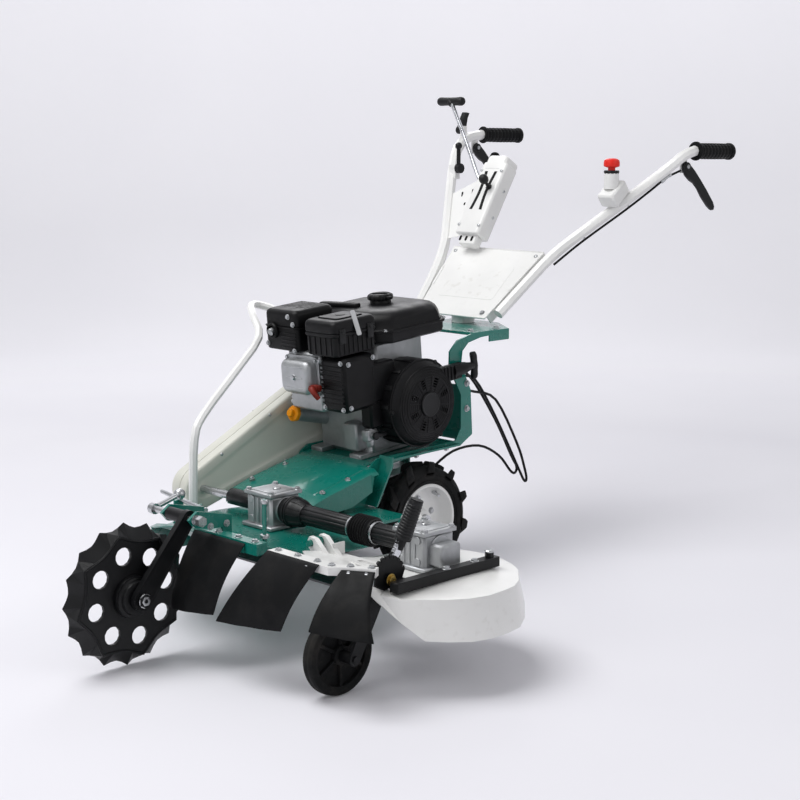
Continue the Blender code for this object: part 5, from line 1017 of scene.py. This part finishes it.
def make_handle_details():
    s = Shape(PANEL)
    for x, y in mm((-124, 78), (124, 78)):
        s.screw((x, y, 0.0014), Z, 0.0095)
    for x, y in mm((-88, -104), (88, -104)):
        s.bolt((x, y, 0.0014), Z, 0.01, 0.004)
    s.make("panel_screws", "steel", "handle")
    s = Shape(PANEL)
    edge = mm((-136.8, 91), (-104.2, -118), (104.2, -118), (136.8, 91), (-136.8, 91))
    for a, b in zip(edge, edge[1:]):
        s.tube([(a[0], a[1], 0.0004), (b[0], b[1], 0.0004)], 0.0019, 10)
    s.slab(round_outline(0.17, 0.105, 0.01, 5), 0.0008, Matrix.Translation((0.004, -0.012, 0.0017)), 0.0004)
    s.make("panel_rolled_edge", "white", "handle")
    s = Shape(GATE)
    soft_box(s, (0.074, 0.046, 0.19), ORIGIN, 0.008, 0.8, 4)
    soft_box(s, (0.06, 0.052, 0.04), (0, 0.002, 0.0935), 0.01, 0.9, 5)
    soft_box(s, (0.05, 0.026, 0.068), (0, 0.003, -0.083), 0.005, 0.3, 4)
    s.make("gate_housing", "white", "handle", 32, ("control_box",))
    # The shift slots in the housing's face: thin near-black sheets of painted shade where the openings are.
    s = Shape(GATE)
    for x, bend in ((-0.015, 0.005), (0.015, -0.005)):
        middle = [Vector((x + bend * math.sin(math.pi * k / 12), -0.0233,
                -0.034 + 0.0085 * k)) for k in range(13)]
        outline = [(p.x - 0.0042, p.z) for p in middle] + [(p.x + 0.0042, p.z) for p in reversed(middle)]
        rows = [[(u, y, w) for u, w in outline] for y in (-0.0225, -0.0234)]
        s.rings(rows)
    s.make("gate_slot_shade", "painted_slot_shade", "handle")
    s = Shape(GATE)
    for x in (-0.031, 0.031):
        for z in (-0.075, 0.07):
            s.screw((x, -0.023, z), (0, -1, 0), 0.0075)
    for z in (-0.04, 0.03):
        s.screw((0.037, 0.004, z), X, 0.0075)
    s.make("gate_screws", "steel", "handle")
    s = Shape(GATE)
    s.turned(mm((7.5, 0), (7.5, 3), (4.2, 4.8), (3.6, 14), (4, 16.5), (8.5, 18.5), (10.8, 24),
            (11.2, 28.5), (10, 33.5), (6.8, 37.2), (2, 38.5)), (0.014, -0.023, 0.025), (0, -1, 0.25), 32)
    s.make("gate_ball_knob", "black_plastic", "handle")
    s = Shape(GATE)
    s.turned(mm((15, -2), (15, 2), (12, 4), (13.5, 7), (10.5, 9), (12, 12), (9, 14), (10, 17), (6, 20)),
            (-0.03, 0.002, 0.112), (-0.45, 0, 1), 32)
    s.make("gate_boot", "rubber", "handle")
    s = Shape()
    path = curved(mm((-156, 500, 800), (-176, 502, 826), (-255, 545, 905), (-340, 590, 985),
            (-356, 599, 998)), 8)
    s.tube(path, 0.005, 16)
    s.turned([(0.0122, -0.005), (0.0122, 0.0085)], (-0.156, 0.5, 0.8), X, 28)
    s.make("shift_rod", "chrome", "gear_lever")
    s = Shape()
    s.turned(mm((6, 0), (9.2, 1.2), (10.8, 5), (11, 12), (10.4, 20), (10, 41), (10.4, 62), (11, 70),
            (10.8, 77), (9.2, 80.8), (6, 82)), (-0.398, 0.6, 1.0), X, 32)
    s.turned(mm((6.2, 0), (8.5, 4), (9, 12), (7.5, 15)), (-0.349, 0.5945, 0.99), (-0.35, 0.15, 0.45), 24)
    s.make("shift_t_grip", "black_plastic", "gear_lever", 36, ("shift_lever",))
    make_grips()
    make_stop_switch()


def make_grips():
    for name, start, step, node in (("left", LEFT_GRIP, 0.012, "left_grip"),
            ("right", RIGHT_GRIP, 0.02, "right_grip")):
        along = Vector((step, 0.1, -0.0015)).normalized()
        first = start + along * 0.002
        s = Shape()
        rows = []
        profile = mm((13.7, 0), (20.5, 0.2), (21.4, 1.6), (21.4, 4.8), (20.3, 6), (18.2, 7.2))
        count = 9
        for i in range(count):
            a = 0.0085 + 0.099 * i / count
            w = 0.099 / count
            r = 0.0174 + 0.0005 * math.sin(math.pi * (i + 0.5) / count)
            profile += [(r - 0.0011, a), (r, a + w * 0.14), (r, a + w * 0.86), (r - 0.0011, a + w)]
        profile += [(0.0186, 0.1085), (0.0193, 0.111), (0.0193, 0.1165), (0.018, 0.119), (0.012, 0.1199),
                (0.003, 0.1199)]
        for r, h in profile:
            ring = []
            place = Matrix.Translation(first) @ turn_to(along)
            for a in around(64):
                lobe = 0.0005 * math.cos(16 * a) if 0.008 < h < 0.108 else 0.0
                ring.append(place @ Vector(((r + lobe) * math.cos(a), (r + lobe) * math.sin(a), h)))
            rows.append(ring)
        s.rings(rows)
        s.make(name + "_grip_ribbed", "rubber", "handle", 50, (node,))


def make_stop_switch():
    s = Shape()
    s.turned(mm((15.2, 834), (16.5, 834.2), (17.2, 835.5), (17.2, 840), (16.4, 841.2), (15.2, 840.8)),
            SWITCH, Z, 40, True)
    s.make("stop_switch_ring", "black_plastic", "handle")
    s = Shape()
    s.turned(mm((8.2, 841.4), (8.2, 847), (14, 848.5), (17.6, 850), (18.1, 853), (18, 859), (16.5, 864),
            (12, 867), (5, 868)), SWITCH, Z, 44)
    s.make("stop_button_dome", "red", "button", 36, ("stop_button",))


# cables
def cord(name, points, radius, node):
    """A control cable of one smooth curve."""
    run = curved(points, 4)
    curve = bpy.data.curves.new(name, "CURVE")
    curve.dimensions = "3D"
    curve.bevel_depth = radius
    curve.bevel_resolution = 4
    curve.use_fill_caps = True
    line = curve.splines.new("POLY")
    line.points.add(len(run) - 1)
    for point, place in zip(line.points, run):
        point.co = (*M(*place), 1.0)
    curve.materials.append(MATS["cable"])
    piece = bpy.data.objects.new(name, curve)
    bpy.context.scene.collection.objects.link(piece)
    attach(piece, "chassis")
    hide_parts(node)
    s = Shape()
    for i, ahead in ((0, run[1] - run[0]), (len(run) - 1, run[-2] - run[-1])):
        s.turned(mm((3.2, -0.2), (5.2, 0), (5.6, 1.2), (5.6, 8), (4.6, 9.2), (4.6, 15), (3.8, 18),
                (3.1, 19.5)), run[i] + ahead.normalized() * 0.0005, ahead, 24)
    adjuster = s.make(name + "_ferrules", "steel", "chassis")


def make_cables():
    cord("clutch_cable", mm((58, 153.4, 412), (58, 175, 412), (56, 230, 396), (50, 320, 290),
            (50, 378, 196), (50, 398, 166), (50, 392, 152), (50, 376, 160), (46, 340, 200), (40, 280, 230),
            (36, 200, 228), (36, 130, 198), (36, 105, 190), (36, 83.6, 190)), 0.003, "cable_clutch")
    cord("throttle_cable", mm((80, 153.4, 404), (80, 175, 403), (78, 225, 390), (70, 300, 300),
            (70, 380, 170), (70, 402, 136), (70, 410, 138), (70, 404, 162), (70, 376, 226), (72, 300, 336),
            (78, 222, 364), (90, 175, 372), (90, 153.4, 372)), 0.003, "cable_throttle")


# flaps, disc trim and hand levers
def make_flap(name, body, corners, phase):
    """A hanging sheet of rubber with a bow, faint ripples and rounded rims."""
    top_left, top_right, low_left, low_right = [Vector(c) for c in corners]
    s = Shape()
    rows = []
    rows_count, columns = 26, 22
    for k in range(rows_count + 1):
        t = k / rows_count
        left, right = top_left.lerp(low_left, t), top_right.lerp(low_right, t)
        front, back = [], []
        for i in range(columns + 1):
            u = i / columns
            p = left.lerp(right, u)
            p.y -= 0.01 * math.sin(math.pi * t) + 0.006 * t * math.sin(math.pi * u)
            p.y += 0.001 * t * math.sin(7.0 * u + 2.4 * t + phase)
            p.y += 0.0005 * t * math.sin(17.0 * u - 3.0 * t + phase)
            half = 0.0019 * (0.45 if i in (0, columns) else 1.0) * (0.55 if k in (0, rows_count) else 1.0)
            front.append(p - Vector((0, half, 0)))
            back.append(p + Vector((0, half, 0)))
        rows.append(front + back[::-1])
    s.rings(rows)
    s.make(name + "_sheet", "rubber", body, 60, (name,))


def make_flaps():
    make_flap("flap_right", "chassis", ((0.1925, -0.634, 0.2255), (0.3355, -0.634, 0.2255),
            (0.2145, -0.706, 0.1005), (0.3015, -0.68, 0.1005)), 0.4)
    make_flap("flap_centre", "wing", ((0.3885, -0.628, 0.2235), (0.5215, -0.628, 0.2235),
            (0.3365, -0.7, 0.1025), (0.4695, -0.668, 0.1065)), 1.7)
    make_flap("wing_flap", "wing", ((0.5577, -0.6118, 0.219), (0.6067, -0.5824, 0.219),
            (0.5577, -0.684, 0.1295), (0.6645, -0.64, 0.1245)), 2.9)


def wavy(count, high, low, turn, steps=192):
    out = []
    for i in range(steps + 1):
        a = 2 * math.pi * i / steps
        lift = 1 - abs(math.sin((a - turn) * count / 2)) ** 0.86
        r = low + (high - low) * lift
        out.append((r * math.cos(a), r * math.sin(a)))
    return out


def make_disc_trim():
    """The rolled bead round the disc's face, the thick rim of its teeth and the smooth hub cup."""
    c = DISC_CENTRE
    s = Shape()
    s.tube([(c.x + 0.0085, c.y + y, c.z + z) for y, z in wavy(8, 0.1105, 0.0955, math.pi / 16)], 0.0022, 10)
    s.tube([(c.x - 0.0115, c.y + y, c.z + z) for y, z in wavy(16, 0.1248, 0.115, 0.0)], 0.0026, 10)
    s.turned(mm((38.3, 8.5), (38.6, 12), (38.4, 16.5), (36.6, 20.2), (34, 22), (31.2, 22.6), (30.6, 24),
            (30.5, 28), (29.2, 30), (26.2, 30.7), (18, 30.7)), (c.x, c.y, c.z), X, 56)
    s.make("disc_rolled_rim", "black_metal", "guide_wheel", 42)
    s = Shape()
    for a in around(8, 0.25):
        y, z = 0.075 * math.cos(a), 0.075 * math.sin(a)
        ring = [(c.x + 0.0088, c.y + y + 0.0172 * math.cos(2 * math.pi * k / 28),
                c.z + z + 0.0172 * math.sin(2 * math.pi * k / 28)) for k in range(29)]
        s.tube(ring, 0.0009, 8)
    s.make("disc_hole_rims", "black_metal", "guide_wheel", 50)


def make_lever_blade(name, node, body, pivot, end):
    """A broad moulded squeeze lever with its pivot body."""
    pivot, end = M(*pivot), M(*end)
    along = (end - pivot).normalized()
    off = Vector((0, along.z, -along.y))
    off = (off - along * off.dot(along)).normalized()
    across = along.cross(off)
    place = Matrix((along, off, across)).transposed().to_4x4()
    place.translation = pivot
    reach = (end - pivot).length
    outline = [(-0.01, -0.007), (0.004, -0.0105), (0.022, -0.0125), (0.05, -0.0135), (0.08, -0.011),
            (reach - 0.006, -0.006), (reach + 0.004, -0.0015), (reach + 0.0065, 0.004),
            (reach + 0.002, 0.0095), (reach - 0.012, 0.012), (0.085, 0.012), (0.06, 0.01), (0.04, 0.0098),
            (0.026, 0.015), (0.008, 0.017), (-0.008, 0.011), (-0.0125, 0.002)]
    s = Shape(place)
    s.slab(outline, 0.0094, Matrix.Identity(4), 0.003)
    s.turned(mm((9.2, -5.8), (10, -4.8), (10, 4.8), (9.2, 5.8)), ORIGIN, Z, 32)
    s.make(name + "_blade", "black_plastic", body, 40, (node,))
    s = Shape(place)
    for side in (-1, 1):
        s.turned(mm((4.6, 5), (4.6, 7.2), (3.6, 8), (1.5, 8)), ORIGIN, (0, 0, side), 20)
    s.make(name + "_pin", "steel", body)


def make_levers():
    make_lever_blade("left_hand", "left_lever", "left_hand_lever", (0.2834, 0.7, 0.848),
            (0.3, 0.782, 0.756))
    make_lever_blade("right_hand", "right_lever", "right_hand_lever", (-0.352, 0.69, 0.886),
            (-0.35, 0.765, 0.806))


def make_gate_bracket():
    """The white stay plate between the gate housing and the right arm, with its slots as thin near-black
    sheets of painted shade.
    """
    low_in, top_in = Vector((-0.036, 0.008, -0.088)), Vector((-0.036, 0.008, 0.076))
    low_out, top_out = Vector((-0.0955, 0.0135, -0.098)), Vector((-0.158, 0.031, 0.03))
    s = Shape(GATE)
    rows = []
    for k in range(13):
        v = k / 12
        a, b = low_in.lerp(top_in, v), low_out.lerp(top_out, v)
        line = [a.lerp(b, i / 8) for i in range(9)]
        thick = 0.0012 * (0.5 if k in (0, 12) else 1.0)
        rows.append([p - Vector((0, thick, 0)) for p in line] + [p + Vector((0, thick,
                0)) for p in reversed(line)])
    s.rings(rows)
    s.make("gate_stay_plate", "white", "handle", 50)
    # The stay plate's slots and the three below the housing: thin near-black sheets of painted shade in the
    # openings.
    s = Shape(GATE)
    for u, v, length, tilt in ((0.3, 0.8, 0.016, 0.35), (0.62, 0.86, 0.014, 0.35),
            (0.45, 0.62, 0.008, 0.0)):
        a, b = low_in.lerp(top_in, v), low_out.lerp(top_out, v)
        p = a.lerp(b, u)
        turn = Matrix.Translation(p - Vector((0, 0.0014, 0))) @ spin(90, "X")
        turn = turn @ Matrix.Rotation(tilt, 4, "Z")
        s.slab(round_outline(0.0052, length, 0.0025, 5), 0.0008, turn, 0.0002)
    for x in (-0.022, -0.004, 0.014):
        turn = Matrix.Translation((x, -0.0106, -0.104)) @ spin(90, "X")
        s.slab(round_outline(0.0062, 0.013, 0.003, 5), 0.001, turn, 0.0002)
    s.make("gate_stay_slot_shade", "painted_slot_shade", "handle")


def make_arm_cable():
    """The brake cable that runs in its sleeve under the left arm, with its silver adjuster."""
    spine = mm((125, 430, 633), (156, 490, 683), (211, 570, 751), (245, 620, 796), (264, 652, 824),
            (279, 685, 840))
    s = Shape()
    s.tube(curved(spine, 6), 0.0026, 10)
    s.make("arm_cable", "cable", "handle", 60)
    s = Shape()
    for y, z, x in mm((495, 689.5, 159), (578, 759, 216)):
        s.tube([(x - 0.003, y - 0.004, z - 0.006), (x, y, z + 0.002), (x - 0.002, y + 0.002, z + 0.01)],
                0.0016, 8)
    axis = (Vector(spine[4]) - Vector(spine[3])).normalized()
    s.turned(mm((4, -16), (4.8, -15), (4.8, -6), (3.6, -5), (3.6, 6), (5, 7), (5, 12), (3.4, 13)),
            spine[4], axis, 20)
    s.make("arm_cable_adjuster", "steel", "handle")


def build_pieces():
    make_cables()
    make_wheels()
    make_engine()
    make_belt_cover()
    make_drive_line()
    make_deck_trim()
    make_guide_arm()
    make_height_lever()
    make_frame_details()
    make_handle_details()
    make_flaps()
    make_disc_trim()
    make_levers()
    make_gate_bracket()
    make_arm_cable()


# rounded CAD nodes
def smoothing_group(name, angle):
    """Welds a node's split corners, drops its flat normals and smooths below an edge angle."""
    group = bpy.data.node_groups.new(name, "GeometryNodeTree")
    group.interface.new_socket("Geometry", in_out="INPUT", socket_type="NodeSocketGeometry")
    group.interface.new_socket("Geometry", in_out="OUTPUT", socket_type="NodeSocketGeometry")
    start = group.nodes.new("NodeGroupInput")
    end = group.nodes.new("NodeGroupOutput")
    drop = group.nodes.new("GeometryNodeRemoveAttribute")
    drop.inputs["Name"].default_value = "custom_normal"
    weld = group.nodes.new("GeometryNodeMergeByDistance")
    weld.inputs["Distance"].default_value = 0.00002
    faces = group.nodes.new("GeometryNodeSetShadeSmooth")
    faces.domain = "FACE"
    edges = group.nodes.new("GeometryNodeSetShadeSmooth")
    edges.domain = "EDGE"
    edges.inputs["Shade Smooth"].default_value = False
    turn = group.nodes.new("GeometryNodeInputMeshEdgeAngle")
    compare = group.nodes.new("FunctionNodeCompare")
    compare.operation = "GREATER_THAN"
    compare.inputs[1].default_value = angle
    link = group.links.new
    link(start.outputs[0], drop.inputs["Geometry"])
    link(drop.outputs[0], weld.inputs["Geometry"])
    link(weld.outputs[0], faces.inputs["Geometry"])
    link(faces.outputs[0], edges.inputs["Geometry"])
    link(turn.outputs["Unsigned Angle"], compare.inputs[0])
    link(compare.outputs[0], edges.inputs["Selection"])
    link(edges.outputs[0], end.inputs[0])
    return group


def dress(node, mat, angle):
    """Gives a CAD node its finish and smooth curves."""
    obj = NODES[node]
    obj.data.materials.clear()
    obj.data.materials.append(mat)
    key = round(angle)
    if key not in SMOOTHERS:
        SMOOTHERS[key] = smoothing_group("smooth_" + str(key), math.radians(angle))
    smooth = obj.modifiers.new("smooth", "NODES")
    smooth.node_group = SMOOTHERS[key]


LOOK_OF_NODE = {"stop_switch": "white", "cylinder_head_cover": "cast"}
SMOOTH_BELOW = {"body_cover": 30.0, "belt_cover": 50.0, "disc_wheel": 28.0}


def slot_of():
    return {s["node"]: s["material_slot"] for s in frame["record"]["subparts"]}


# stage and light
def make_stage():
    mesh = bpy.data.meshes.new("floor")
    bm = bmesh.new()
    profile = [(-6.0, 0.0), (3.4, 0.0)]
    for i in range(1, 13):
        a = math.pi / 2 * i / 12
        profile.append((3.4 + 2.0 * math.sin(a), 2.0 - 2.0 * math.cos(a)))
    profile.append((5.4, 9.0))
    away = Vector((-math.sin(HEADING), math.cos(HEADING), 0))
    side = Vector((math.cos(HEADING), math.sin(HEADING), 0))
    rows = []
    for s in (-9.0, 9.0):
        rows.append([bm.verts.new(away * u + side * s + Vector((0, 0, z - 0.0004))) for u, z in profile])
    for i in range(len(profile) - 1):
        bm.faces.new((rows[0][i], rows[1][i], rows[1][i + 1], rows[0][i + 1]))
    for f in bm.faces:
        f.smooth = True
    bmesh.ops.recalc_face_normals(bm, faces=bm.faces)
    bm.to_mesh(mesh)
    bm.free()
    floor = bpy.data.objects.new("floor", mesh)
    bpy.context.scene.collection.objects.link(floor)
    t = Tree("backdrop")
    t.colour(t.ramp(t.noise(1.2, 2.0), linear(226, 225, 231), linear(232, 231, 236), 0.2, 0.8))
    t.set(Roughness=0.9, Specular_IOR_Level=0.1)
    path = t.node("ShaderNodeLightPath")
    seen = t.math("MAXIMUM", t.math("MAXIMUM", path.outputs["Is Camera Ray"],
            path.outputs["Is Glossy Ray"]), path.outputs["Is Transmission Ray"])
    t.set(Emission_Color=(0.97, 0.97, 1.0, 1.0))
    reach = t.node("ShaderNodeVectorMath", operation="LENGTH")
    t.link(t.coords, reach.inputs[0])
    far = t.span(reach.outputs["Value"], 1.9, 3.6, 0.04, 0.26)
    t.set(Emission_Strength=t.math("MULTIPLY", seen, t.math("ADD", far,
            t.span(t.height(), 0.1, 2.6, 0.0, 0.24))))
    mesh.materials.append(t.mat)


def area(name, place, target, size, power):
    data = bpy.data.lights.new(name, "AREA")
    data.shape = "RECTANGLE"
    data.size, data.size_y = size
    data.energy = power
    lamp = bpy.data.objects.new(name, data)
    bpy.context.scene.collection.objects.link(lamp)
    lamp.location = place
    lamp.rotation_mode = "QUATERNION"
    lamp.rotation_quaternion = (Vector(target) - Vector(place)).to_track_quat("-Z", "Y")


def make_lights():
    world = bpy.data.worlds.new("studio")
    bpy.context.scene.world = world
    world.use_nodes = True
    back = world.node_tree.nodes["Background"]
    back.inputs[0].default_value = (0.97, 0.97, 1.0, 1.0)
    back.inputs[1].default_value = 0.4
    area("key", (-0.8, -1.4, 3.6), (0, 0, 0.3), (2.4, 2.4), 101.0)
    area("fill", (3.2, 0.6, 1.9), (0, 0, 0.4), (2.2, 1.6), 16.0)
    area("front", (0.4, -3.8, 1.5), (0, 0, 0.4), (2.4, 1.2), 14.0)
    area("rim", (-2.6, 2.2, 2.6), (0, 0, 0.4), (2.0, 1.4), 26.0)


def main():
    make_camera()
    MATS.update(make_materials())
    build_pieces()
    slots = slot_of()
    for node in sorted(NODES):
        dress(node, MATS[LOOK_OF_NODE.get(node, slots[node])], SMOOTH_BELOW.get(node, 40.0))
    make_stage()
    make_lights()
    scene = bpy.context.scene
    scene.view_settings.view_transform = "Standard"


main()
